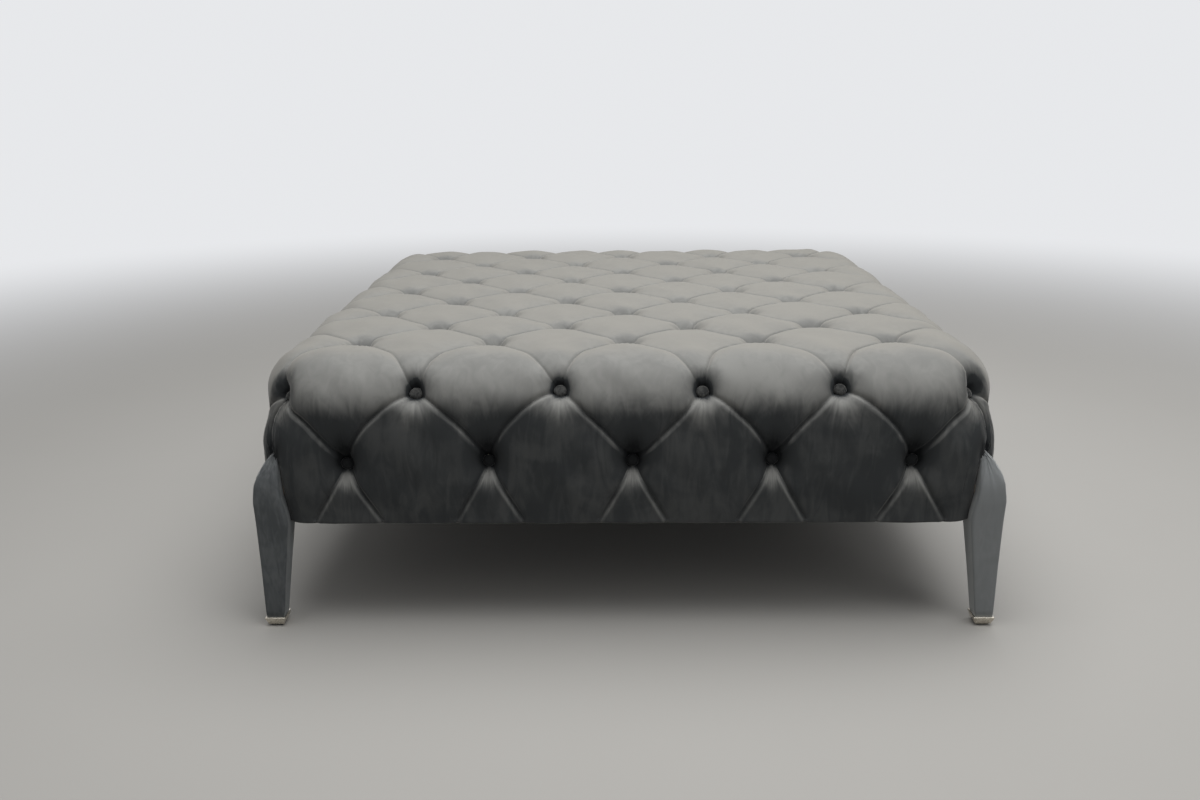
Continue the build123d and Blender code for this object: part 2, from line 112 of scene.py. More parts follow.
class Graph:
    """Small helper that places and links the nodes of one tree."""

    def __init__(self, tree: bpy.types.NodeTree) -> None:
        """Starts with an empty tree.

        Args:
            tree: Node tree of a material, a world or a group.
        """
        self.tree = tree
        tree.nodes.clear()

    def add(self, kind: str, inputs: dict | None = None, **settings: object) -> bpy.types.Node:
        """Adds a node and fills its sockets.

        Args:
            kind: Type name of the node.
            inputs: Values or output sockets, by the name or number of the input.
            **settings: Properties of the node.

        Returns:
            The new node.
        """
        node = self.tree.nodes.new(kind)
        for name, value in settings.items():
            setattr(node, name, value)
        for key, value in (inputs or {}).items():
            if isinstance(value, bpy.types.NodeSocket):
                self.tree.links.new(value, node.inputs[key])
            else:
                node.inputs[key].default_value = value
        return node

    def math(self, operation: str, *values: object) -> bpy.types.NodeSocket:
        """Adds a maths node and returns its result.

        Args:
            operation: Name of the operation.
            *values: Its two or three inputs, numbers or sockets.

        Returns:
            Output socket.
        """
        return self.add("ShaderNodeMath", dict(enumerate(values)), operation=operation).outputs[0]

    def blend(self, factor: object, low: object, high: object) -> bpy.types.NodeSocket:
        """Blends two colours.

        Args:
            factor: Share of the second colour.
            low: First colour.
            high: Second colour.

        Returns:
            Output socket with the colour.
        """
        node = self.add("ShaderNodeMix", data_type="RGBA")
        for key, value in ((0, factor), (6, low), (7, high)):
            if isinstance(value, bpy.types.NodeSocket):
                self.tree.links.new(value, node.inputs[key])
            elif key:
                node.inputs[key].default_value = (*value, 1.0)
            else:
                node.inputs[key].default_value = value
        return node.outputs[2]

    def ramp(self, value: object, low: float, high: float) -> bpy.types.NodeSocket:
        """Stretches the part of a value between low and high over 0 to 1, smoothly.

        Args:
            value: Socket to stretch.
            low: Value that becomes 0.
            high: Value that becomes 1.

        Returns:
            Output socket.
        """
        node = self.add(
            "ShaderNodeMapRange",
            {"Value": value, "From Min": low, "From Max": high},
            interpolation_type="SMOOTHSTEP",
        )
        return node.outputs[0]

    def noise(self, vector: object, scale: float, detail: float = 2.0, distortion: float = 0.0) -> bpy.types.NodeSocket:
        """Adds a noise texture.

        Args:
            vector: Coordinates.
            scale: Features in each metre.
            detail: Octaves.
            distortion: How far the pattern is pulled about.

        Returns:
            Output socket with values round 0.5.
        """
        node = self.add(
            "ShaderNodeTexNoise",
            {"Vector": vector, "Scale": scale, "Detail": detail, "Distortion": distortion},
        )
        return node.outputs["Fac"]

    def group(self, made: bpy.types.NodeTree, inputs: dict) -> bpy.types.Node:
        """Places a node group.

        Args:
            made: The group's tree.
            inputs: Values or sockets by name.

        Returns:
            The group node.
        """
        node = self.add("ShaderNodeGroup", node_tree=made)
        for key, value in inputs.items():
            if isinstance(value, bpy.types.NodeSocket):
                self.tree.links.new(value, node.inputs[key])
            else:
                node.inputs[key].default_value = value
        return node


def open_group(name: str, inputs: dict[str, tuple[str, float]], outputs: dict[str, str]) -> tuple[Graph, bpy.types.Node]:
    """Makes an empty shader node group with named sockets.

    Args:
        name: Name of the group.
        inputs: Socket kind and first value by name.
        outputs: Socket kind by name.

    Returns:
        The graph and its input node.
    """
    tree = bpy.data.node_groups.new(name, "ShaderNodeTree")
    graph = Graph(tree)
    for label, (kind, value) in inputs.items():
        socket = tree.interface.new_socket(label, in_out="INPUT", socket_type=kind)
        if kind == "NodeSocketFloat":
            socket.default_value = value
    for label, kind in outputs.items():
        tree.interface.new_socket(label, in_out="OUTPUT", socket_type=kind)
    return graph, graph.add("NodeGroupInput")


def nap_group() -> bpy.types.NodeTree:
    """Brushed pile of velvet: where strokes have laid it over, and the fine pile itself.

    Returns:
        Group with the outputs Brushed and Pile, both from 0 to 1.
    """
    graph, given = open_group(
        "velvet_nap",
        {
            "Position": ("NodeSocketVector", 0.0),
            "Patches": ("NodeSocketFloat", 14.0),
            "Streaks": ("NodeSocketFloat", 60.0),
        },
        {"Brushed": "NodeSocketFloat", "Pile": "NodeSocketFloat"},
    )
    place = given.outputs["Position"]
    patches = graph.add(
        "ShaderNodeTexNoise",
        {"Vector": place, "Scale": given.outputs["Patches"], "Detail": 3.0, "Distortion": 0.8},
    ).outputs["Fac"]
    stretched = graph.add(
        "ShaderNodeVectorMath", {0: place, 1: (1.0, 1.0, 0.25)}, operation="MULTIPLY"
    ).outputs[0]
    streaks = graph.add(
        "ShaderNodeTexNoise",
        {"Vector": stretched, "Scale": given.outputs["Streaks"], "Detail": 4.0, "Distortion": 1.2},
    ).outputs["Fac"]
    mixed = graph.math("MULTIPLY_ADD", streaks, 0.45, graph.math("MULTIPLY", patches, 0.55))
    brushed = graph.ramp(mixed, 0.38, 0.64)
    pile = graph.noise(place, 1400.0, 2.0)
    graph.add("NodeGroupOutput", {"Brushed": brushed, "Pile": pile})
    return graph.tree


def grain_group() -> bpy.types.NodeTree:
    """Grain of sawn wood along X.

    Returns:
        Group with the outputs Grain and Height.
    """
    graph, given = open_group(
        "wood_grain",
        {"Position": ("NodeSocketVector", 0.0), "Rings": ("NodeSocketFloat", 40.0)},
        {"Grain": "NodeSocketFloat", "Height": "NodeSocketFloat"},
    )
    stretched = graph.add(
        "ShaderNodeVectorMath", {0: given.outputs["Position"], 1: (0.12, 1.0, 1.0)}, operation="MULTIPLY"
    ).outputs[0]
    rings = graph.add(
        "ShaderNodeTexNoise",
        {"Vector": stretched, "Scale": given.outputs["Rings"], "Detail": 5.0, "Distortion": 0.9},
    ).outputs["Fac"]
    pores = graph.noise(stretched, 900.0, 2.0)
    grain = graph.math("MULTIPLY_ADD", pores, 0.3, graph.math("MULTIPLY", rings, 0.7))
    graph.add("NodeGroupOutput", {"Grain": graph.ramp(grain, 0.35, 0.68), "Height": pores})
    return graph.tree


def fibre_group() -> bpy.types.NodeTree:
    """Fibres and pores of felted cloth, foam and twine.

    Returns:
        Group with the outputs Mottle and Height.
    """
    graph, given = open_group(
        "fibres",
        {"Position": ("NodeSocketVector", 0.0), "Fineness": ("NodeSocketFloat", 600.0)},
        {"Mottle": "NodeSocketFloat", "Height": "NodeSocketFloat"},
    )
    fine = graph.add(
        "ShaderNodeTexNoise",
        {"Vector": given.outputs["Position"], "Scale": given.outputs["Fineness"], "Detail": 3.0, "Distortion": 0.4},
    ).outputs["Fac"]
    broad = graph.noise(given.outputs["Position"], 18.0, 3.0)
    mottle = graph.math("MULTIPLY_ADD", fine, 0.5, graph.math("MULTIPLY", broad, 0.5))
    graph.add("NodeGroupOutput", {"Mottle": graph.ramp(mottle, 0.35, 0.65), "Height": fine})
    return graph.tree


def wear_group() -> bpy.types.NodeTree:
    """Rubbed and brushed metal: fine scratches and duller spots.

    Returns:
        Group with the outputs Dull and Height.
    """
    graph, given = open_group(
        "rubbed_metal",
        {"Position": ("NodeSocketVector", 0.0), "Brushing": ("NodeSocketFloat", 900.0)},
        {"Dull": "NodeSocketFloat", "Height": "NodeSocketFloat"},
    )
    stretched = graph.add(
        "ShaderNodeVectorMath", {0: given.outputs["Position"], 1: (1.0, 1.0, 0.08)}, operation="MULTIPLY"
    ).outputs[0]
    lines = graph.add(
        "ShaderNodeTexNoise",
        {"Vector": stretched, "Scale": given.outputs["Brushing"], "Detail": 2.0},
    ).outputs["Fac"]
    spots = graph.noise(given.outputs["Position"], 160.0, 3.0)
    graph.add("NodeGroupOutput", {"Dull": graph.ramp(spots, 0.4, 0.7), "Height": lines})
    return graph.tree


class Effects:
    """Node groups that more than one finish uses, each built once."""

    builders: dict[str, Callable[[], bpy.types.NodeTree]] = {
        "nap": nap_group,
        "grain": grain_group,
        "fibre": fibre_group,
        "wear": wear_group,
    }
    made: dict[str, bpy.types.NodeTree] = {}

    @classmethod
    def get(cls, name: str) -> bpy.types.NodeTree:
        """Gives a group, and builds it the first time.

        Args:
            name: Short name of the effect.

        Returns:
            The group's tree.
        """
        if name not in cls.made:
            cls.made[name] = cls.builders[name]()
        return cls.made[name]


def new_material(name: str) -> tuple[Graph, bpy.types.Material]:
    """Makes an empty node material.

    Args:
        name: Name of the material.

    Returns:
        Its graph and the material.
    """
    material = bpy.data.materials.new(name)
    material.use_nodes = True
    return Graph(material.node_tree), material


@dataclass(frozen=True)
class VelvetFinish:
    """Short-pile velvet, dark where the pile points at the eye and pale where it leans away, as a sheen painted into
    the colour; a point attribute also paints in light from above and shade in the pits.

    Args:
        name: Name of the material.
        deep: Colour seen straight down into the pile, and where no light is painted on.
        brushed: Colour of the paler pile, on brushed patches and where light from above is painted on.
        bloom: Colour of the pile seen across, a sheen painted into the colour, stronger where light from above is
            painted on.
        tint: Colour of the sheen.
        sheen: Weight of the sheen.
        patches: Brushed patches in a metre.
        streaks: Brush streaks in a metre.
    """

    name: str
    deep: Colour
    brushed: Colour
    bloom: Colour
    tint: Colour
    # Painted shade: near-black colour of the pits and funnels round the buttons.
    painted_pit_shade: Colour = (0.008, 0.009, 0.010)
    sheen: float = 0.22
    patches: float = 13.0
    streaks: float = 55.0

    def material(self) -> bpy.types.Material:
        """Builds the material.

        Returns:
            The material.
        """
        graph, material = new_material(self.name)
        place = graph.add("ShaderNodeTexCoord").outputs["Object"]
        nap = graph.group(
            Effects.get("nap"), {"Position": place, "Patches": self.patches, "Streaks": self.streaks}
        )
        # Painted light and shade from a point attribute: the pile is paler where the cloth faces the light and darker
        # in the pits round the buttons.
        stroke = graph.add("ShaderNodeAttribute", attribute_name="stroke").outputs["Fac"]
        uneven = graph.math("SUBTRACT", nap.outputs["Brushed"], 0.5)
        halfway_tone = graph.math("MULTIPLY", stroke, graph.math("SUBTRACT", 1.0, stroke))
        amount = graph.math("MULTIPLY_ADD", halfway_tone, 1.2, 0.05)
        pile_tone = graph.math("MINIMUM", graph.math("MULTIPLY_ADD", uneven, amount, stroke), 1.0)
        pile = graph.blend(pile_tone, self.deep, self.brushed)
        # Painted sheen: the bloom colour where the pile is seen at a grazing angle, stronger where light from above is
        # painted on.
        across = graph.add("ShaderNodeLayerWeight", {"Blend": 0.5}).outputs["Facing"]
        lean = graph.math("MULTIPLY_ADD", graph.math("SUBTRACT", pile_tone, 0.5), 0.16, across)
        lit = graph.math("MULTIPLY_ADD", graph.math("MAXIMUM", stroke, 0.0), 0.7, 0.3)
        bloomed = graph.blend(graph.math("MULTIPLY", graph.ramp(lean, 0.38, 0.92), lit), pile, self.bloom)
        # Painted shade: where the attribute falls below 0 the colour goes towards near black.
        colour = graph.blend(graph.math("MULTIPLY", stroke, -1.1), bloomed, self.painted_pit_shade)
        bump = graph.add(
            "ShaderNodeBump", {"Height": nap.outputs["Pile"], "Strength": 0.12, "Distance": 0.0006}
        )
        shader = graph.add(
            "ShaderNodeBsdfPrincipled",
            {
                "Base Color": colour,
                "Roughness": 0.92,
                "Specular IOR Level": 0.12,
                "Sheen Weight": self.sheen,
                "Sheen Roughness": 0.32,
                "Sheen Tint": (*self.tint, 1.0),
                "Normal": bump.outputs[0],
            },
        )
        graph.add("ShaderNodeOutputMaterial", {"Surface": shader.outputs[0]})
        return material


@dataclass(frozen=True)
class WoodFinish:
    """Sawn wood or the face of a board.

    Args:
        name: Name of the material.
        early: Colour of the pale wood.
        late: Colour of the dark rings.
        rings: Rings in a metre across the grain.
    """

    name: str
    early: Colour
    late: Colour
    rings: float = 40.0

    def material(self) -> bpy.types.Material:
        """Builds the material.

        Returns:
            The material.
        """
        graph, material = new_material(self.name)
        place = graph.add("ShaderNodeTexCoord").outputs["Object"]
        grain = graph.group(Effects.get("grain"), {"Position": place, "Rings": self.rings})
        colour = graph.blend(grain.outputs["Grain"], self.early, self.late)
        roughness = graph.math("MULTIPLY_ADD", grain.outputs["Grain"], 0.15, 0.6)
        bump = graph.add(
            "ShaderNodeBump", {"Height": grain.outputs["Height"], "Strength": 0.2, "Distance": 0.0004}
        )
        shader = graph.add(
            "ShaderNodeBsdfPrincipled",
            {"Base Color": colour, "Roughness": roughness, "Normal": bump.outputs[0]},
        )
        graph.add("ShaderNodeOutputMaterial", {"Surface": shader.outputs[0]})
        return material


@dataclass(frozen=True)
class FibreFinish:
    """Felted cloth, foam or twine.

    Args:
        name: Name of the material.
        low: Colour of the hollows.
        high: Colour of the fibres.
        fineness: Fibres in a metre.
        relief: Depth of the bumps in metres.
        sheen: Weight of the sheen.
    """

    name: str
    low: Colour
    high: Colour
    fineness: float = 600.0
    relief: float = 0.0005
    sheen: float = 0.1

    def material(self) -> bpy.types.Material:
        """Builds the material.

        Returns:
            The material.
        """
        graph, material = new_material(self.name)
        place = graph.add("ShaderNodeTexCoord").outputs["Object"]
        fibre = graph.group(Effects.get("fibre"), {"Position": place, "Fineness": self.fineness})
        colour = graph.blend(fibre.outputs["Mottle"], self.low, self.high)
        bump = graph.add(
            "ShaderNodeBump",
            {"Height": fibre.outputs["Height"], "Strength": 0.5, "Distance": self.relief},
        )
        shader = graph.add(
            "ShaderNodeBsdfPrincipled",
            {"Base Color": colour, "Roughness": 0.95, "Sheen Weight": self.sheen, "Normal": bump.outputs[0]},
        )
        graph.add("ShaderNodeOutputMaterial", {"Surface": shader.outputs[0]})
        return material


@dataclass(frozen=True)
class MetalFinish:
    """Brushed or plated metal, or smooth plastic where metallic is 0.

    Args:
        name: Name of the material.
        clean: Colour where it is clean.
        wear_and_highlight: Colour where it is rubbed.
        metallic: 1 for metal and 0 for plastic.
        roughness: Roughness where it is clean.
    """

    name: str
    clean: Colour
    wear_and_highlight: Colour
    metallic: float = 1.0
    roughness: float = 0.28

    def material(self) -> bpy.types.Material:
        """Builds the material.

        Returns:
            The material.
        """
        graph, material = new_material(self.name)
        place = graph.add("ShaderNodeTexCoord").outputs["Object"]
        wear = graph.group(Effects.get("wear"), {"Position": place, "Brushing": 1200.0})
        colour = graph.blend(wear.outputs["Dull"], self.clean, self.wear_and_highlight)
        roughness = graph.math("MULTIPLY_ADD", wear.outputs["Dull"], 0.16, self.roughness)
        bump = graph.add(
            "ShaderNodeBump", {"Height": wear.outputs["Height"], "Strength": 0.06, "Distance": 0.0002}
        )
        shader = graph.add(
            "ShaderNodeBsdfPrincipled",
            {
                "Base Color": colour,
                "Metallic": self.metallic,
                "Roughness": roughness,
                "Normal": bump.outputs[0],
            },
        )
        graph.add("ShaderNodeOutputMaterial", {"Surface": shader.outputs[0]})
        return material


FINISHES = {
    # Painted light: each velvet's pale colour is used for brushed patches and for light from above painted on, and its
    # bloom is a painted sheen.
    Slot.VELVET: VelvetFinish(
        "grey_velvet",
        deep=(0.038, 0.041, 0.043),
        brushed=(0.268, 0.268, 0.256),
        bloom=(0.272, 0.263, 0.240),
        tint=(0.86, 0.87, 0.87),
    ),
    Slot.LEG_VELVET: VelvetFinish(
        "leg_velvet",
        deep=(0.062, 0.068, 0.072),
        brushed=(0.215, 0.226, 0.230),
        bloom=(0.36, 0.37, 0.365),
        tint=(0.80, 0.85, 0.90),
        patches=22.0,
        streaks=110.0,
    ),
    Slot.BUTTON_VELVET: VelvetFinish(
        "button_velvet",
        # Painted shade: the buttons' deep colour is near black, so that buttons sunk in their pits look shadowed.
        deep=(0.013, 0.014, 0.015),
        brushed=(0.200, 0.200, 0.190),
        bloom=(0.24, 0.235, 0.215),
        tint=(0.80, 0.84, 0.88),
        patches=120.0,
        streaks=300.0,
        sheen=0.3,
    ),
    Slot.FOAM: FibreFinish("cut_foam", (0.62, 0.55, 0.36), (0.78, 0.71, 0.50), 700.0, 0.0008, 0.0),
    Slot.PLYWOOD: WoodFinish("birch_board", (0.66, 0.50, 0.33), (0.50, 0.35, 0.21), 26.0),
    Slot.BEECH: WoodFinish("beech", (0.60, 0.40, 0.25), (0.42, 0.26, 0.15), 60.0),
    Slot.BLACK_CLOTH: FibreFinish("dust_cloth", (0.012, 0.012, 0.013), (0.030, 0.030, 0.032), 500.0, 0.0004, 0.2),
    Slot.TWINE: FibreFinish("waxed_twine", (0.45, 0.38, 0.27), (0.66, 0.58, 0.44), 1500.0, 0.0003, 0.1),
    Slot.DARK_PLASTIC: MetalFinish("dark_plastic", (0.020, 0.020, 0.021), (0.045, 0.045, 0.046), 0.0, 0.42),
    Slot.ZINC_STEEL: MetalFinish("zinc_plate", (0.62, 0.63, 0.65), (0.45, 0.46, 0.48), 1.0, 0.34),
    Slot.CAP_METAL: MetalFinish("champagne_steel", (0.66, 0.62, 0.54), (0.50, 0.46, 0.39), 1.0, 0.24),
}


class Wardrobe:
    """Materials of the table by slot, each built when it is first asked for."""

    made: dict[Slot, bpy.types.Material] = {}

    @classmethod
    def get(cls, slot: Slot) -> bpy.types.Material:
        """Gives the material of a slot.

        Args:
            slot: The record's slot.

        Returns:
            The material.
        """
        if slot not in cls.made:
            cls.made[slot] = FINISHES[slot].material()
        return cls.made[slot]


# Shared steps of the modelling


def deselect() -> None:
    """Leaves edit mode and deselects every object."""
    if bpy.context.object and bpy.context.object.mode != "OBJECT":
        bpy.ops.object.mode_set(mode="OBJECT")
    bpy.ops.object.select_all(action="DESELECT")


def activate(*pieces: bpy.types.Object) -> None:
    """Selects these pieces alone, the first of them active.

    Args:
        *pieces: Objects to select.
    """
    deselect()
    for piece in pieces:
        piece.select_set(True)
    bpy.context.view_layer.objects.active = pieces[0]


def settle(piece: bpy.types.Object) -> None:
    """Puts the piece's place into its mesh and its object at the origin.

    Args:
        piece: Object to settle.
    """
    activate(piece)
    bpy.ops.object.transform_apply(location=True, rotation=True, scale=True)


def soften(piece: bpy.types.Object, angle: float = 40.0) -> None:
    """Shades the piece smooth, but for edges sharper than the angle.

    Args:
        piece: Object to shade.
        angle: Largest smooth angle in degrees.
    """
    activate(piece)
    bpy.ops.object.shade_smooth_by_angle(angle=math.radians(angle))


def face_outwards(piece: bpy.types.Object) -> None:
    """Recalculates the normals of a closed mesh.

    Args:
        piece: Object to mend.
    """
    activate(piece)
    bpy.ops.object.mode_set(mode="EDIT")
    bpy.ops.mesh.select_all(action="SELECT")
    bpy.ops.mesh.normals_make_consistent(inside=False)
    bpy.ops.object.mode_set(mode="OBJECT")


def turned_copy(piece: bpy.types.Object, name: str, quarter_turns: int) -> bpy.types.Object:
    """Copies a settled piece with its own mesh and turns the copy round the table's middle.

    Args:
        piece: Object to copy.
        name: Name of the copy.
        quarter_turns: Quarter turns about the vertical.

    Returns:
        The copy.
    """
    copy = piece.copy()
    copy.data = piece.data.copy()
    copy.name = name
    copy.data.name = name
    bpy.context.scene.collection.objects.link(copy)
    copy.data.transform(Matrix.Rotation(quarter_turns * math.pi / 2, 4, "Z"))
    return copy


def joined(parts: Sequence[bpy.types.Object], name: str) -> bpy.types.Object:
    """Joins parts into one piece.

    Args:
        parts: Objects to join.
        name: Name of the piece.

    Returns:
        The joined object.
    """
    activate(*parts)
    if len(parts) > 1:
        bpy.ops.object.join()
    piece = bpy.context.object
    piece.name = name
    piece.data.name = name
    settle(piece)
    return piece


def dress(piece: bpy.types.Object, slot: Slot, *replaced: str) -> bpy.types.Object:
    """Gives a finished piece its material and its body, and hides the nodes that it stands for.

    Args:
        piece: Finished object.
        slot: The record's slot for its finish.
        *replaced: Names of CAD nodes.

    Returns:
        The piece.
    """
    piece.data.materials.clear()
    piece.data.materials.append(Wardrobe.get(slot))
    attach(piece, ROOT)
    if replaced:
        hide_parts(*replaced)
    log.info("%s: %d faces, stands for %s", piece.name, len(piece.data.polygons), ", ".join(replaced) or "nothing")
    return piece


# The quilt's layout and its form


def point(x: float, y: float, z: float) -> Array:
    """Point of the row frame."""
    return np.array((x, y, z), float)


def halfway(a: Array, b: Array) -> Array:
    """Point halfway between two others."""
    return (a + b) / 2


def turn(points: Array, quarter_turns: int) -> Array:
    """Turns points about the vertical through the table's middle.

    Args:
        points: Points in rows.
        quarter_turns: Quarter turns, anticlockwise from above.

    Returns:
        The turned points.
    """
    out = np.array(points, float)
    for _ in range(quarter_turns % 4):
        out = np.stack((-out[..., 1], out[..., 0], out[..., 2]), axis=-1)
    return out


@dataclass
class Patch:
    """Four-sided patch of a puff.

    Args:
        corners: Corners in ring order.
        middles: Middles of the four sides, in the same order.
        crown: Point that the patch passes at its middle.
        hem: Whether its third side, from the third corner to the last, runs along the hem.
    """

    corners: tuple[Array, Array, Array, Array]
    middles: tuple[Array, Array, Array, Array]
    crown: Array
    hem: bool = False

    def lay(self, shares: Array) -> Array:
        """Lays a grid of points over the patch.

        Args:
            shares: Shares from 0 to 1 along either side.

        Returns:
            Grid of points, first along the first side and then down from it.
        """
        a, b, c, d = self.corners
        controls = [2 * m - halfway(p, q) for m, (p, q) in zip(self.middles, ((a, b), (b, c), (c, d), (d, a)))]
        ab, bc, cd, da = controls
        centre = 4 * self.crown - (a + b + c + d) / 4 - (ab + bc + cd + da) / 2
        net = np.array([[a, ab, b], [da, centre, bc], [d, cd, c]])
        weights = np.stack(((1 - shares) ** 2, 2 * shares * (1 - shares), shares**2), axis=-1)
        return np.einsum("ui,vj,jik->uvk", weights, weights, net)


@dataclass
class Puff:
    """Padded panel between pleats.

    Args:
        patches: Its patches.
        pleats: Start, middle and end of the pleats that hold its edges down.
        buttons: Buttons at its corners.
        firmness: How full it is, round 1.
        side: Side of the table that it is turned to.
        flat: Whether it has hardly any filling.
    """

    patches: list[Patch]
    pleats: list[tuple[Array, Array, Array, Fold]]
    buttons: list[Array]
    firmness: float = 1.0
    side: Side = Side.FRONT
    flat: bool = False


@dataclass
class QuiltForm:
    """Layout of the buttons and the depth of the quilt under the smooth form round it.

    The tuples hold what hand-tying leaves uneven, in order from the left of the front. Each
    further side takes the same values, from another start.
    """

    half_pitch: float = 0.100
    across: int = 5
    crown_height: float = 0.408
    tuft_height: float = 0.380
    hem_height: float = 0.167
    edge_button_out: float = 0.0120
    edge_button_height: float = 0.3550
    edge_crown_out: float = 0.014
    edge_crown_height: float = 0.380
    side_button_out: float = 0.0125
    side_button_height: float = 0.254
    side_spread: float = 1.015
    pleat_rise: float = 0.013
    side_pleat_out: float = 0.009
    panel_crown_out: float = 0.041
    panel_crown_height: float = 0.268
    hem_out: float = 0.032
    fan_half_width: float = 0.050
    top_corner_in: float = 0.014
    top_corner_height: float = 0.345
    low_corner_out: float = 0.011
    low_corner_height: float = 0.2569
    panel_end_in: float = 0.006
    roll: float = 0.080
    corner_round: float = 0.035
    out: float = 0.0405
    button_reach: float = 0.0088
    swell_reach: float = 0.064
    edge_shifts: tuple[tuple[float, float], ...] = ((0.001, -0.001), (0.006, 0.002), (0.007, 0.000), (0.000, 0.002))
    side_shifts: tuple[tuple[float, float], ...] = (
        (0.001, -0.004),
        (0.004, 0.000),
        (0.008, 0.000),
        (0.005, 0.001),
        (0.002, -0.001),
    )
    left_bows: tuple[float, ...] = (0.023, 0.024, 0.002, 0.011)
    right_bows: tuple[float, ...] = (0.015, 0.008, 0.018, 0.021)

    @property
    def grid(self) -> float:
        """Half of the width of the grid of buttons."""
        return self.half_pitch * self.across

    def envelope(self, points: Array) -> tuple[Array, Array]:
        """Drops points onto the smooth rounded form round the crowns of the quilt.

        Args:
            points: Points in rows.

        Returns:
            The points on the form, and its outward directions there.
        """
        reach = self.grid + self.out - self.roll
        core = np.array(points, float)
        core[..., :2] = np.clip(core[..., :2], -reach, reach)
        rounded = self.corner_round * smooth_step(core[..., 2:], 0.265, 0.340)
        aside = np.maximum(np.abs(core[..., :2]) - (reach - rounded), 0)
        length = np.maximum(np.linalg.norm(aside, axis=-1, keepdims=True), 1e-9)
        excess = aside * (1 - np.minimum(1, rounded / length))
        core[..., :2] -= np.sign(core[..., :2]) * excess
        core[..., 2] = np.minimum(core[..., 2], self.crown_height - self.roll)
        away = points - core
        outward = away / np.maximum(np.linalg.norm(away, axis=-1, keepdims=True), 1e-9)
        return core + outward * self.roll, outward

    def uneven(self, values: Sequence, place: int, side: Side) -> object:
        """Value of one place of a side, out of those of the front.

        Args:
            values: Values of the front.
            place: Place along the side.
            side: Side of the table.

        Returns:
            The value.
        """
        return values[(place + 3 * side.value) % len(values)]

    def edge_button(self, i: int, side: Side) -> Array:
        """Button over the edge of a side, with the side turned to the front."""
        if abs(i) == self.across:
            reach = self.grid - self.top_corner_in
            return point(math.copysign(reach, i), -reach, self.top_corner_height)
        along, up = self.uneven(self.edge_shifts, (i + self.across - 2) // 2, side)
        return point(i * self.half_pitch + along, -(self.grid + self.edge_button_out), self.edge_button_height + up)

    def side_button(self, i: int, side: Side) -> Array:
        """Button of a side, i half pitches from its middle, with the side turned to the front."""
        along, up = self.uneven(self.side_shifts, (i + self.across - 1) // 2, side)
        x = i * self.half_pitch * self.side_spread + along
        return point(x, -(self.grid + self.side_button_out), self.side_button_height + up)

    def grid_button(self, i: int, j: int) -> Array:
        """Button at i and j half pitches from the middle of the top."""
        edge = self.across
        if j == -edge:
            return self.edge_button(i, Side.FRONT)
        if i == edge:
            return turn(self.edge_button(j, Side.RIGHT), Side.RIGHT.value)
        if j == edge:
            return turn(self.edge_button(-i, Side.BACK), Side.BACK.value)
        if i == -edge:
            return turn(self.edge_button(-j, Side.LEFT), Side.LEFT.value)
        return point(i * self.half_pitch, j * self.half_pitch, self.tuft_height)

    def top_button(self, i: int) -> Array:
        """Button of the row of the top next to a side, with the side turned to the front."""
        return point(i * self.half_pitch, (1 - self.across) * self.half_pitch, self.tuft_height)

    def corner_button(self, hand: int) -> Array:
        """Low button at the corner on the left, -1, or the right, 1, of the front."""
        reach = self.grid + self.low_corner_out
        return point(hand * reach, -reach, self.low_corner_height)

    def hem_point(self, x: float) -> Array:
        """Point of the front hem."""
        return point(x, -(self.grid + self.hem_out), self.hem_height)

    def firmness(self, i: int, j: int) -> float:
        """How full one puff is: a little different for each.

        Args:
            i: Place along the side.
            j: Place across the top, or a number for the side.

        Returns:
            Share of the full height.
        """
        return 1.0 + 0.05 * math.sin(12.9 * i + 4.1 * j + 1.3) + 0.04 * math.sin(5.3 * i - 7.7 * j)

    def pleat(self, a: Array, b: Array, rise: Array) -> tuple[Array, Array, Array, Fold]:
        """Pleat from one button to the next."""
        return a, halfway(a, b) + rise, b, Fold.PLEAT

    def top_pleat(self, a: Array, b: Array) -> tuple[Array, Array, Array, Fold]:
        """Pleat of the top, which wanders a little to one side."""
        middle = halfway(a, b)
        along = (b - a) * (1 if b[1] > a[1] else -1)
        drift = point(-along[1], along[0], 0) / np.linalg.norm(along[:2])
        size = 0.004 * math.sin(41 * middle[0] + 67 * middle[1] + 0.6) + (0.014 if along[0] > 0 else 0.0)
        return self.pleat(a, b, drift * size + point(0, 0, self.pleat_rise))

    def side_pleat(self, i: int, hand: int, side: Side) -> tuple[Array, Array, Array, Fold]:
        """Pleat from an edge button down to the left, -1, or the right, 1, bowed away from the panel below.

        Args:
            i: Place of the edge button.
            hand: Direction of the pleat.
            side: Side of the table, which is turned to the front.

        Returns:
            The pleat.
        """
        top, low = self.edge_button(i, side), self.side_button(i + hand, side)
        bow = 0.006
        if abs(i) < self.across:
            bow = self.uneven(self.left_bows if hand < 0 else self.right_bows, (i + self.across - 2) // 2, side)
        run = low - top
        away = point(-run[2] * hand, 0, run[0] * hand) / math.hypot(run[0], run[2])
        return self.pleat(top, low, away * bow - point(0, self.side_pleat_out, 0))

    def top_puffs(self) -> list[Puff]:
        """Diamonds of the flat top.

        Returns:
            The puffs.
        """
        puffs = []
        for i in range(1 - self.across, self.across):
            for j in range(1 - self.across, self.across):
                if (i + j) % 2 == 0:
                    continue
                ring = [
                    self.grid_button(i - 1, j),
                    self.grid_button(i, j - 1),
                    self.grid_button(i + 1, j),
                    self.grid_button(i, j + 1),
                ]
                pleats = [self.top_pleat(a, b) for a, b in zip(ring, ring[1:] + ring[:1])]
                crown = point(i * self.half_pitch, j * self.half_pitch, self.crown_height)
                patch = Patch(tuple(ring), tuple(p[1] for p in pleats), crown)
                puffs.append(Puff([patch], pleats, ring, self.firmness(i, j)))
        return puffs

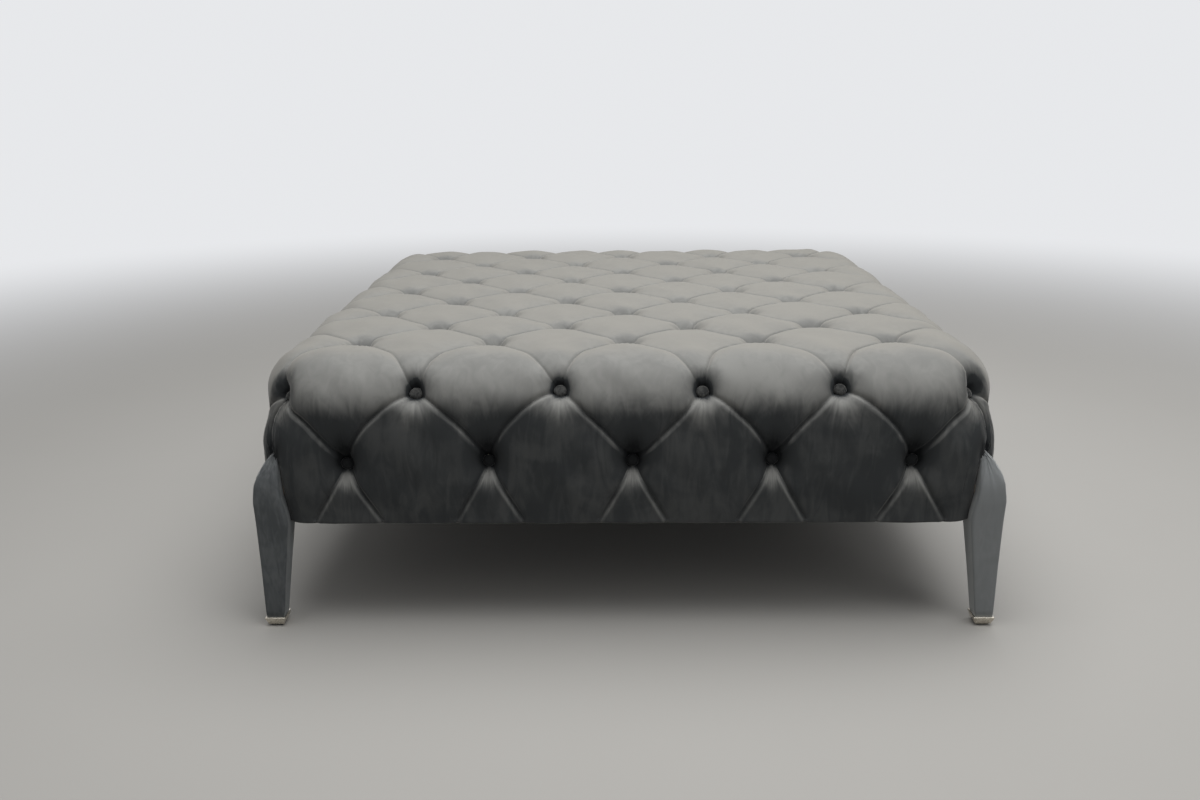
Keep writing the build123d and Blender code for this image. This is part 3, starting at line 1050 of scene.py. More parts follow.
    def over_edge(self, i: int, side: Side) -> Puff:
        """Diamond that wraps over the front edge."""
        turns = side.value
        top = self.top_button(i)
        left, low, right = self.edge_button(i - 1, side), self.side_button(i, side), self.edge_button(i + 1, side)
        upper = []
        for a, b in ((top, left), (right, top)):
            pleat = self.top_pleat(turn(a, turns), turn(b, turns))
            upper.append((a, turn(pleat[1], -turns), b, Fold.PLEAT))
        pleats = [upper[0], self.side_pleat(i - 1, 1, side), self.side_pleat(i + 1, -1, side), upper[1]]
        crown = point(i * self.half_pitch, -(self.grid + self.edge_crown_out), self.edge_crown_height)
        patch = Patch((top, left, low, right), tuple(p[1] for p in pleats), crown)
        return Puff([patch], pleats, [top, left, low, right], self.firmness(i, 20), side)

    def fan(self, i: int, side: Side) -> Puff:
        """Fan of cloth from a side button down to the hem."""
        button = self.side_button(i, side)
        left = self.hem_point(button[0] - self.fan_half_width)
        right = self.hem_point(button[0] + self.fan_half_width)
        still = point(0, 0, 0)
        pleats = [self.pleat(button, left, still), self.pleat(button, right, still)]
        middles = (button, halfway(button, right), halfway(left, right), halfway(button, left))
        crown = (2 * button + left + right) / 4
        patch = Patch((button, button, right, left), middles, crown, hem=True)
        return Puff([patch], pleats, [button], 1.0, side, flat=True)

    def panel(self, i: int, side: Side) -> Puff:
        """Panel that hangs under an edge button, in two halves."""
        top = self.edge_button(i, side)
        middle_foot = self.hem_point(i * self.half_pitch * self.side_spread)
        line = point(halfway(top, middle_foot)[0], -(self.grid + self.panel_crown_out), self.panel_crown_height)
        patches = []
        pleats = []
        lows = []
        for hand in (-1, 1):
            low = self.side_button(i + hand, side)
            foot = self.hem_point(low[0] - hand * self.fan_half_width)
            upper = self.side_pleat(i, hand, side)
            lower = self.pleat(low, foot, point(0, 0, 0))
            middles = (upper[1], lower[1], halfway(foot, middle_foot), line)
            crown = halfway(halfway(middles[0], middles[2]), halfway(middles[1], middles[3]))
            patches.append(Patch((top, low, foot, middle_foot), middles, crown, hem=True))
            pleats += [upper, lower]
            lows.append(low)
        return Puff(patches, pleats, [top, *lows], self.firmness(i, 31), side)

    def corner_panel(self, hand: int, side: Side) -> Puff:
        """Last panel of the front, from the last side button round to the corner pleat."""
        last = self.across - 1
        top = self.edge_button(hand * self.across, side)
        low = self.side_button(hand * last, side)
        corner = self.corner_button(hand)
        foot = self.hem_point(low[0] + hand * self.fan_half_width)
        end = self.hem_point(hand * (self.grid - self.panel_end_in))
        middle_foot = halfway(foot, end)
        line = halfway(top, middle_foot)
        line[1] = -(self.grid + 0.036)
        upper = self.side_pleat(hand * self.across, -hand, side)
        lower = self.pleat(low, foot, point(0, 0, 0))
        tuck_middle = point(hand * 0.5095, -0.534, 0.214)
        tuck = (end, tuck_middle, corner, Fold.TUCK)
        down = self.pleat(corner, top, self.corner_bow(hand, side))
        inner = Patch(
            (top, low, foot, middle_foot),
            (upper[1], lower[1], halfway(foot, middle_foot), line),
            point(halfway(top, foot)[0], line[1], halfway(line, low)[2]),
            hem=True,
        )
        outer = Patch(
            (corner, top, middle_foot, end),
            (down[1], line, halfway(middle_foot, end), tuck_middle),
            point(hand * self.grid, -(self.grid + 0.030), 0.250),
            hem=True,
        )
        return Puff([inner, outer], [upper, lower, tuck, down], [top, low, corner], self.firmness(hand * 5, 31), side)

    def corner_bow(self, hand: int, side: Side) -> Array:
        """Way that the pleat of a corner bows: outwards, and away from the front and the back.

        Args:
            hand: Corner on the left, -1, or the right, 1, of the side.
            side: Side of the table, which is turned to the front.

        Returns:
            The move of the pleat's middle.
        """
        corner = turn(point(hand, -1, 0), side.value)
        aside = turn(point(corner[0], -corner[1], 0), -side.value)
        return (0.004 * point(hand, -1, 0) + 0.014 * aside) / math.sqrt(2)

    def leg_facet(self, side: Side) -> Puff:
        """Cloth behind the leg at the front right corner, tucked between two panel ends."""
        corner = self.corner_button(1)
        ends = []
        middles = []
        for hand, turns in ((1, 0), (-1, 1)):
            ends.append(turn(self.hem_point(hand * (self.grid - self.panel_end_in)), turns))
            middles.append(turn(point(hand * 0.5095, -0.534, 0.214), turns))
        pleats = [(end, middle, corner, Fold.TUCK) for end, middle in zip(ends, middles)]
        hem_middle = halfway(*ends)
        crown = halfway(halfway(corner, hem_middle), halfway(*middles))
        patch = Patch((corner, corner, ends[1], ends[0]), (corner, middles[1], hem_middle, middles[0]), crown, hem=True)
        return Puff([patch], pleats, [corner], 1.0, side, flat=True)

    def puffs(self) -> list[Puff]:
        """Every puff of the quilt.

        Returns:
            The puffs of the top, then those of the four sides.
        """
        made = self.top_puffs()
        for side in Side:
            made += [self.corner_panel(-1, side), self.corner_panel(1, side), self.leg_facet(side)]
            for i in range(1 - self.across, self.across, 2):
                made += [self.over_edge(i, side), self.fan(i, side)]
            made += [self.panel(i, side) for i in range(2 - self.across, self.across - 1, 2)]
        return made


def smooth_step(values: Array, low: float, high: float) -> Array:
    """Smooth step from 0 at low to 1 at high."""
    share = np.clip((values - low) / (high - low), 0, 1)
    return share * share * (3 - 2 * share)


def line_distance(points: Array, line: Array) -> tuple[Array, Array]:
    """Distances from points to a broken line.

    Args:
        points: Points in rows.
        line: Points of the line in rows.

    Returns:
        Distances, and the shares along the line of the nearest places.
    """
    starts, runs = line[:-1], np.diff(line, axis=0)
    lengths = np.maximum((runs**2).sum(-1), 1e-18)
    along = np.clip(((points[:, None] - starts) * runs).sum(-1) / lengths, 0, 1)
    gaps = np.linalg.norm(points[:, None] - (starts + along[..., None] * runs), axis=-1)
    nearest = gaps.argmin(1)
    rows = np.arange(len(points))
    return gaps[rows, nearest], (nearest + along[rows, nearest]) / len(runs)


@dataclass
class Cloth:
    """Grid of points of the cover.

    Args:
        points: The points.
        places: Places that tell which points of two grids are the same.
        strokes: Light and shade painted on the pile at each point, lighter above 0 and darker below it.
    """

    points: Array
    places: Array
    strokes: Array


@dataclass
class QuiltSurface:
    """Works out the points of the quilt, puff by puff.

    Args:
        form: The quilt's layout.
    """

    form: QuiltForm
    lip_height: float = 0.0010
    lip_out: float = 0.0062
    lip_width: float = 0.0030
    groove_depth: float = 0.0046
    groove_width: float = 0.0036
    # Place and width of the pale band painted along the pleat lips as a highlight.
    highlight_out: float = 0.0045
    highlight_width: float = 0.0020
    soft_share: float = 0.12
    funnel_share: float = 0.34
    gather_height: float = 0.0015
    gather_reach: float = 0.016
    under_radius: float = 0.0045
    under_width: float = 0.030

    def shares(self, steps: int) -> Array:
        """Shares along a side of a patch, closer together near its ends."""
        even = np.linspace(0, 1, steps + 1)
        return 0.16 * even + 0.84 * (1 - np.cos(math.pi * even)) / 2

    def held_depth(self, places: Array) -> Array:
        """Depth of the pleats under the form round the quilt, by where they are.

        Args:
            places: Points on the form, in rows.

        Returns:
            Depths.
        """
        form = self.form
        height = places[:, 2]
        depth = 0.0056 + 0.0016 * smooth_step(height, 0.36, 0.40)
        depth += 0.0030 * (1 - smooth_step(height, form.hem_height, 0.225))
        reach = form.grid + form.out - form.roll
        beyond = np.maximum(np.abs(places[:, :2]) - reach, 0)
        angle = np.degrees(np.arctan2(beyond[:, 0], beyond[:, 1] + 1e-12))
        round_corner = np.exp(-(((angle - 45) / 17) ** 2)) * (beyond.min(1) > 0)
        extra = np.interp(height, (0.167, 0.257, 0.300, 0.345, 0.405), (0.004, 0.004, 0.006, 0.006, 0.002))
        return depth + round_corner * extra

    def crown_depth(self, places: Array) -> Array:
        """Depth of the fullest part of a puff, by where it is.

        Args:
            places: Points on the form, in rows.

        Returns:
            Depths.
        """
        height = places[:, 2]
        return 0.0068 * (1 - smooth_step(height, self.form.hem_height - 0.012, 0.222))

    def swell(self, gaps: Array, upright: Array) -> Array:
        """Share of its height that a puff has at a distance from a pleat."""
        near = np.clip(gaps / (self.form.swell_reach * (0.66 + 0.34 * upright)), 0, 1)
        return 1 - (1 - near) ** 2.3

    def pit(self, beyond: Array, deep: float, upright: Array) -> Array:
        """Share of a button's depth at a distance past its rim, for a button that deep."""
        reach = 0.011 + 0.008 * upright + 0.8 * deep
        return (1 - np.clip(beyond / reach, 0, 1)) ** 2.7

    def fold(self, gap: Array, along: Array, upright: Array, shown: float, lipped: bool) -> Array:
        """Thin groove of a pleat, and the folded lip beside it.

        Args:
            gap: Distances from the pleat.
            along: Shares along it.
            upright: How near the cloth is to upright there, from 0 to 1.
            shown: How sharp the pleat is where the cloth lies flat.
            lipped: Whether the lip is on this side.

        Returns:
            Heights.
        """
        window = np.sin(math.pi * np.clip(along, 0, 1)) ** 0.5
        width = self.groove_width * (0.45 + 0.55 * upright)
        height = -self.groove_depth * (shown + (1 - shown) * upright) * np.exp(-((gap / width) ** 2))
        if lipped:
            height += self.lip_height * np.exp(-(((gap - self.lip_out) / self.lip_width) ** 2))
        return height * window

    def build(self, puff: Puff, steps: int, detail: bool) -> list[Cloth]:
        """Points of one puff.

        Args:
            puff: The puff.
            steps: Steps along each side of its patches.
            detail: Whether to add lips, grooves and gathers.

        Returns:
            A grid for each patch.
        """
        form = self.form
        turns = puff.side.value
        shares = self.shares(steps)
        weights = np.stack(((1 - shares) ** 2, 2 * shares * (1 - shares), shares**2), axis=-1)
        lines = []
        for start, middle, end, _ in puff.pleats:
            curve = weights @ np.array([start, 2 * middle - halfway(start, end), end])
            lines.append(form.envelope(curve)[0])
        centre = np.mean([patch.crown for patch in puff.patches], axis=0)
        made = []
        for patch in puff.patches:
            base = patch.lay(shares).reshape(-1, 3)
            places, outward = form.envelope(base)
            held = self.held_depth(places)
            upright = 1 - smooth_step(outward[:, 2], 0.3, 0.95)
            swell = np.ones(len(places))
            fine = np.zeros(len(places))
            # Painted light from above: the pile is painted paler where the cloth faces up.
            stroke = 0.9 * smooth_step(outward[:, 2], -0.10, 0.52)
            gaps = []
            for line, (begin, middle, finish, kind) in zip(lines, puff.pleats):
                gap, along = line_distance(places, line)
                gaps.append(gap)
                run = turn(finish - begin, turns)
                bold = run[0] * run[1] > 0
                kept = 0.0 if bold or kind is Fold.TUCK else self.soft_share * (1 - upright)
                swell *= kept + (1 - kept) * self.swell(gap, upright)
                if kind is Fold.PLEAT:
                    shown = 0.75 if bold else 0.30
                    lipped = puff.flat or centre[2] < middle[2] - 0.01
                    fine += self.fold(gap, along, upright, shown, lipped)
                    if lipped:
                        # Painted highlight: a pale band along the folded lip beside the pleat, where the cloth stands
                        # upright.
                        wear_and_highlight = np.exp(-(((gap - self.highlight_out) / self.highlight_width) ** 2)) * upright
                        stroke += 0.36 * wear_and_highlight * np.sin(math.pi * np.clip(along, 0, 1)) ** 0.5
            near = np.sort(np.array(gaps), axis=0)
            share = near[0] / np.maximum(near[0] + near[1], 1e-9)
            pit = np.zeros(len(places))
            for number, button in enumerate(puff.buttons):
                at_button, _ = form.envelope(button[None])
                deep = float(np.linalg.norm(at_button - button))
                reach = np.linalg.norm(places - at_button, axis=1)
                lift = np.clip((places[:, 2] - at_button[0, 2]) / np.maximum(reach, 1e-6), 0, 1)
                beyond = np.maximum(reach * (1 - self.funnel_share * lift**2) - form.button_reach, 0)
                pit += (deep - held) * self.pit(beyond, deep, upright)
                window = np.exp(-beyond / self.gather_reach) * (1 - np.exp(-beyond / 0.004))
                phase = 73 * button[0] + 31 * button[1] + 1.7 * number + 29 * centre[0] + 11 * turns
                ripple = np.cos(math.tau * (9 if puff.flat else 11) * share + phase)
                ripple += 0.6 * np.cos(math.tau * 18 * share + 2 * phase)
                fine += self.gather_height * window * ripple * np.clip(4 * share, 0, 1)
                # Painted light: a pale patch just under the upper buttons and down the fans, where the cloth comes up
                # out of the pit towards the light.
                below = np.clip((button[2] - places[:, 2]) / np.maximum(reach, 1e-6), 0, 1)
                sides = np.abs(places[:, 0] - button[0]) / np.maximum(reach, 1e-6)
                steep = 1 - smooth_step(np.abs(outward[:, 2]), 0.6, 0.9)
                spread, start, length = (0.62, 0.018, 0.015) if puff.flat else (0.95, 0.024, 0.019)
                lit = puff.flat or button[2] > form.side_button_height + 0.03
                ray = np.exp(-((sides / spread) ** 2)) * below * steep * lit
                gather = 0.86 + 0.14 * ripple
                stroke += 1.15 * ray * np.exp(-(((reach - start) / length) ** 2)) * gather
                # Painted shade: a dark funnel above each button, and darkening in and round its pit.
                above = np.clip(0.35 - (button[2] - places[:, 2]) / np.maximum(reach, 1e-6), 0, 1) * steep
                aside = places[:, 0] - button[0]
                funnel = np.exp(-((aside / (0.008 + 0.22 * reach)) ** 2) - (reach / 0.038) ** 2)
                stroke -= 1.5 * above * funnel * (0.85 + 0.15 * ripple)
                stroke -= (0.30 * above + 0.25 * (1 - steep)) * np.exp(-((beyond / 0.019) ** 2))
                stroke -= (0.45 + 0.55 * steep) * np.exp(-((beyond / 0.0048) ** 2))
            if puff.flat:
                depth = held + pit - 0.003 * swell
            else:
                full = self.crown_depth(places) - 0.014 * (puff.firmness - 1)
                depth = held * (1 - swell) + full * swell + pit * (1 - 0.25 * swell)
            if detail:
                depth = depth - fine - 0.0009 * self.wobble(turn(places, turns)) * swell
            points = places - outward * depth[:, None]
            side = steps + 1
            made.append(
                Cloth(
                    turn(points.reshape(side, side, 3), turns),
                    turn(base.reshape(side, side, 3), turns),
                    np.clip(stroke, -1, 1).reshape(side, side),
                )
            )
        return made

    def wobble(self, places: Array) -> Array:
        """Slow unevenness of the filling, round 0."""
        total = np.zeros(len(places))
        for number, wave in enumerate(((61, 17, 43), (23, 71, 29), (47, 53, 83), (97, 31, 67))):
            total += np.sin(places @ np.array(wave, float) + 1.7 * number)
        return total / 2

    def underside(self, cloth: Cloth) -> Cloth:
        """Carries the cloth from the hem round and under the frame.

        Args:
            cloth: Grid with its last column along the hem.

        Returns:
            Grid of the part under the hem, which starts along it.
        """
        row = cloth.points[:, -1]
        place = cloth.places[:, -1]
        reach = self.form.grid + self.form.out - self.form.roll
        away = row[:, :2] - np.clip(row[:, :2], -reach, reach)
        away = away / np.linalg.norm(away, axis=1, keepdims=True)
        outward = np.column_stack((away, np.zeros(len(row))))
        up = np.array((0.0, 0.0, 1.0))
        steps = [(0.0, 0.0)]
        for angle in np.radians((22.5, 45, 67.5, 90)):
            steps.append((self.under_radius * (1 - math.cos(angle)), self.under_radius * math.sin(angle)))
        steps += [(inwards, self.under_radius) for inwards in (0.012, 0.022, self.under_width)]
        steps.append((self.under_width, self.under_radius - 0.009))
        rows = np.array([row - outward * inwards - up * fall for inwards, fall in steps])
        marks = np.array([place - up * number for number in range(len(steps))])
        return Cloth(rows, marks, np.repeat(cloth.strokes[None, :, -1], len(steps), axis=0))


def weld(cloths: Sequence[Cloth]) -> tuple[Array, Array, list[tuple[int, ...]], list[Array]]:
    """Turns grids of points into one mesh with shared edges.

    Args:
        cloths: Grids of points.

    Returns:
        Points, painted light and shade values, faces, and the number of each grid's points among them.
    """
    keys = np.round(np.concatenate([cloth.places.reshape(-1, 3) for cloth in cloths]), 6) + 0.0
    _, number = np.unique(keys, axis=0, return_inverse=True)
    number = number.reshape(-1)
    count = np.bincount(number)
    columns = np.concatenate([np.dstack((cloth.points, cloth.strokes)).reshape(-1, 4) for cloth in cloths])
    merged = np.stack([np.bincount(number, column) / count for column in columns.T], axis=-1)
    faces = []
    numbers = []
    start = 0
    for cloth in cloths:
        shape = cloth.strokes.shape
        index = number[start : start + shape[0] * shape[1]].reshape(shape)
        numbers.append(index)
        start += shape[0] * shape[1]
        quads = np.stack((index[:-1, :-1], index[1:, :-1], index[1:, 1:], index[:-1, 1:]), axis=-1).reshape(-1, 4)
        for quad in quads.tolist():
            ring = [corner for k, corner in enumerate(quad) if corner != quad[k - 1]]
            if len(set(ring)) > 2:
                faces.append(tuple(ring))
    return merged[:, :3], merged[:, 3], faces, numbers


def finer(coarse: Array, steps: int) -> Array:
    """Spreads a grid of moves over a finer grid, with smooth curves between them.

    Args:
        coarse: Grid of moves.
        steps: Steps of the finer grid.

    Returns:
        The finer grid.
    """
    last = coarse.shape[0] - 1
    places = np.linspace(0, last, steps + 1)
    table = np.zeros((steps + 1, last + 1))
    for row, place in enumerate(places):
        at = min(int(place), last - 1)
        t = place - at
        weights = (
            (-t + 2 * t**2 - t**3) / 2,
            (2 - 5 * t**2 + 3 * t**3) / 2,
            (t + 4 * t**2 - 3 * t**3) / 2,
            (-(t**2) + t**3) / 2,
        )
        for offset, weight in zip((-1, 0, 1, 2), weights):
            table[row, min(max(at + offset, 0), last)] += weight
    return np.einsum("ia,jb,abk->ijk", table, table, coarse)


@dataclass
class TuftedCover:
    """Velvet cover with its filling, drawn down by the buttons and folded into pleats between them."""

    form: QuiltForm = field(default_factory=QuiltForm)
    coarse_steps: int = 12
    fine_steps: int = 32
    pressure: float = 4.0
    frames: int = 20
    most_move: float = 0.005

    def mesh_piece(self, name: str, cloths: Sequence[Cloth]) -> tuple[bpy.types.Object, list[Array]]:
        """Makes an object of grids of points.

        Args:
            name: Name of the object.
            cloths: Grids of points.

        Returns:
            The object, and the number of each grid's points in its mesh.
        """
        points, strokes, faces, numbers = weld(cloths)
        mesh = bpy.data.meshes.new(name)
        mesh.from_pydata(points.tolist(), [], faces)
        # The light and shade painted on each point go into a point attribute that the velvet reads.
        mesh.attributes.new("stroke", "FLOAT", "POINT").data.foreach_set("value", strokes.astype(np.float32))
        piece = bpy.data.objects.new(name, mesh)
        bpy.context.scene.collection.objects.link(piece)
        return piece, numbers

    def held_points(self, puffs: Sequence[Puff], numbers: Sequence[Array]) -> list[int]:
        """Finds the points that buttons, pleats and the hem hold.

        Args:
            puffs: The puffs.
            numbers: Numbers of the points of each patch.

        Returns:
            Numbers of the held points.
        """
        held = set()
        grids = iter(numbers)
        for puff in puffs:
            for patch in puff.patches:
                index = next(grids)
                if puff.flat:
                    held.update(index.reshape(-1).tolist())
                    continue
                sides = (index[:, 0], index[-1, :], index[:, -1], index[0, :])
                for number, (side, middle) in enumerate(zip(sides, patch.middles)):
                    folded = any(np.allclose(middle, pleat[1]) for pleat in puff.pleats)
                    if folded or (patch.hem and number == 2):
                        held.update(side.tolist())
        return sorted(held)

    def inflate(self, surface: QuiltSurface, puffs: Sequence[Puff]) -> list[Array]:
        """Blows the puffs up as cloth that is held at its buttons, pleats and hem.

        Args:
            surface: The quilt's surface.
            puffs: The puffs.

        Returns:
            Grids of moves, one to a patch, on the coarse grid.
        """
        cloths = [cloth for puff in puffs for cloth in surface.build(puff, self.coarse_steps, detail=False)]
        bags, numbers = self.mesh_piece("filling", cloths)
        face_outwards(bags)
        held = self.held_points(puffs, numbers)
        bags.vertex_groups.new(name="held").add(held, 1.0, "REPLACE")
        activate(bags)
        cloth = bags.modifiers.new("filling", "CLOTH")
        cloth.settings.quality = 5
        cloth.settings.mass = 0.3
        cloth.settings.tension_stiffness = 12
        cloth.settings.compression_stiffness = 12
        cloth.settings.bending_stiffness = 0.4
        cloth.settings.vertex_group_mass = "held"
        cloth.settings.use_pressure = True
        cloth.settings.uniform_pressure_force = self.pressure
        cloth.settings.effector_weights.gravity = 0
        cloth.collision_settings.use_collision = False
        cloth.point_cache.frame_start = 1
        cloth.point_cache.frame_end = self.frames
        before = np.array([vertex.co for vertex in bags.data.vertices])
        for number in range(1, self.frames + 1):
            bpy.context.scene.frame_set(number)
        activate(bags)
        bpy.ops.object.modifier_apply(modifier=cloth.name)
        moves = np.array([vertex.co for vertex in bags.data.vertices]) - before
        bpy.context.scene.frame_set(1)
        moves[held] = 0
        lengths = np.linalg.norm(moves, axis=1)
        log.info("filling: largest move %.1f mm, middle %.1f mm", 1000 * lengths.max(), 1000 * np.median(lengths))
        moves *= np.minimum(1, self.most_move / np.maximum(lengths, 1e-9))[:, None]
        bpy.data.objects.remove(bags)
        return [moves[index] for index in numbers]

    def build(self) -> bpy.types.Object:
        """Makes the cover.

        Returns:
            The finished cover.
        """
        surface = QuiltSurface(self.form)
        puffs = self.form.puffs()
        moves = iter(self.inflate(surface, puffs))
        cloths = []
        for puff in puffs:
            for patch, cloth in zip(puff.patches, surface.build(puff, self.fine_steps, detail=True)):
                cloth.points = cloth.points + finer(next(moves), self.fine_steps)
                cloths.append(cloth)
                if patch.hem:
                    cloths.append(surface.underside(cloth))
        cover, _ = self.mesh_piece("tufted_velvet_cover", cloths)
        activate(cover)
        bpy.ops.object.mode_set(mode="EDIT")
        bpy.ops.mesh.select_mode(type="EDGE")
        bpy.ops.mesh.select_all(action="DESELECT")
        bpy.ops.mesh.select_non_manifold(extend=False, use_wire=False, use_multi_face=False, use_non_contiguous=False, use_verts=False)
        log.info("rim of the cover: %d edges", self.selected_edges(cover))
        bpy.ops.mesh.edge_face_add()
        bpy.ops.mesh.select_all(action="SELECT")
        bpy.ops.mesh.normals_make_consistent(inside=False)
        bpy.ops.object.mode_set(mode="OBJECT")
        activate(cover)
        bpy.ops.object.shade_smooth()
        return cover

    def selected_edges(self, piece: bpy.types.Object) -> int:
        """Counts the selected edges of the piece in edit mode."""
        piece.update_from_editmode()
        return sum(edge.select for edge in piece.data.edges)

    def dress(self) -> None:
        """Builds the cover and puts it in place of its node."""
        cover = dress(self.build(), Slot.VELVET, "tufted_cover")


@dataclass
class CoveredButtons:
    """Domed buttons in the cover's velvet, each sunk in its tuft."""

    form: QuiltForm = field(default_factory=QuiltForm)
    radius: float = 0.0092
    height: float = 0.0070
    seat: float = 0.0003
    sunk: float = 0.0025
    # Painted light by node: the top buttons paler, the edge buttons a little paler, the side and corner buttons left
    # dark as if shaded.
    painted_lightness: dict[str, float] = field(default_factory=lambda: {"top_buttons": 0.55, "edge_buttons": 0.22})
    rim: float = 0.0030

    def blank(self) -> bpy.types.Object:
        """Models one button at the origin, facing up.

        Returns:
            The button.
        """
        deselect()
        bpy.ops.mesh.primitive_uv_sphere_add(segments=20, ring_count=10, radius=self.radius)
        button = bpy.context.object
        bpy.ops.object.mode_set(mode="EDIT")
        bpy.ops.mesh.select_all(action="DESELECT")
        bpy.ops.object.mode_set(mode="OBJECT")
        for vertex in button.data.vertices:
            vertex.select = vertex.co.z < -1e-5
        bpy.ops.object.mode_set(mode="EDIT")
        bpy.ops.transform.resize(value=(1.0, 1.0, self.rim / self.radius))
        bpy.ops.mesh.select_all(action="INVERT")
        bpy.ops.object.mode_set(mode="OBJECT")
        for vertex in button.data.vertices:
            reach = math.hypot(vertex.co.x, vertex.co.y) / self.radius
            if vertex.co.z < -1e-5:
                vertex.co.z = -self.rim * (1 - reach**2) ** 0.5 if reach < 1 else 0.0
            else:
                gather = 1 + 0.02 * math.cos(10 * math.atan2(vertex.co.y, vertex.co.x)) * reach
                vertex.co.z = (self.height - self.rim) * max(0.0, 1 - reach**2.6) ** 0.6
                vertex.co.x *= gather
                vertex.co.y *= gather
            vertex.co.z += self.rim
        soften(button, 60)
        return button

    def rows(self) -> dict[str, list[tuple[Array, Array]]]:
        """Places and directions of the buttons by CAD node.

        Returns:
            Lists of a place and a direction, by the node's name.
        """
        form = self.form
        across = form.across
        up = point(0, 0, 1)
        rows: dict[str, list[tuple[Array, Array]]] = {"top_buttons": [], "edge_buttons": [], "side_buttons": [], "corner_buttons": []}
        for i in range(1 - across, across):
            for j in range(1 - across, across):
                if (i + j) % 2 == 0:
                    rows["top_buttons"].append((form.grid_button(i, j), up))
        hem = halfway(form.hem_point(form.grid), turn(form.hem_point(-form.grid), 1))
        low = form.corner_button(1)
        for side in Side:
            found: dict[str, list[tuple[Array, Array]]] = {"edge_buttons": [], "side_buttons": [], "corner_buttons": []}
            for i in range(2 - across, across - 1, 2):
                place = form.edge_button(i, side)
                above = halfway(form.top_button(i - 1), form.top_button(i + 1))
                below = halfway(form.side_button(i - 1, side), form.side_button(i + 1, side))
                found["edge_buttons"].append((place, self.outward(place, above, below)))
            corner = form.edge_button(across, side)
            found["edge_buttons"].append((corner, self.outward(corner, form.top_button(across - 1), low)))
            for i in range(1 - across, across, 2):
                found["side_buttons"].append((form.side_button(i, side), point(0, -1, 0)))
            found["corner_buttons"].append((low, self.outward(low, corner, hem)))
            for name, places in found.items():
                for place, facing in places:
                    sunk = place - facing * self.sunk
                    rows[name].append((turn(sunk, side.value), turn(facing, side.value)))
        return rows

    def outward(self, button: Array, above: Array, below: Array) -> Array:
        """Direction that a button faces: away from the cloth that runs up and down from it."""
        pull = sum((other - button) / np.linalg.norm(other - button) for other in (above, below))
        return -pull / np.linalg.norm(pull)

    def dress(self) -> None:
        """Builds the buttons of each node and puts them in its place."""
        blank = self.blank()
        for node, places in self.rows().items():
            copies = []
            for place, facing in places:
                copy = blank.copy()
                copy.data = blank.data.copy()
                bpy.context.scene.collection.objects.link(copy)
                direction = Vector(facing.tolist())
                spin = direction.to_track_quat("Z", "Y").to_matrix().to_4x4()
                copy.matrix_world = Matrix.Translation(Vector(place.tolist()) + direction * self.seat) @ spin
                copies.append(copy)
            buttons = joined(copies, f"velvet_{node}")
            pile_tone = buttons.data.attributes.new("stroke", "FLOAT", "POINT").data
            pile_tone.foreach_set("value", [self.painted_lightness.get(node, 0.0)] * len(pile_tone))
            dress(buttons, Slot.BUTTON_VELVET, node)
        bpy.data.objects.remove(blank)


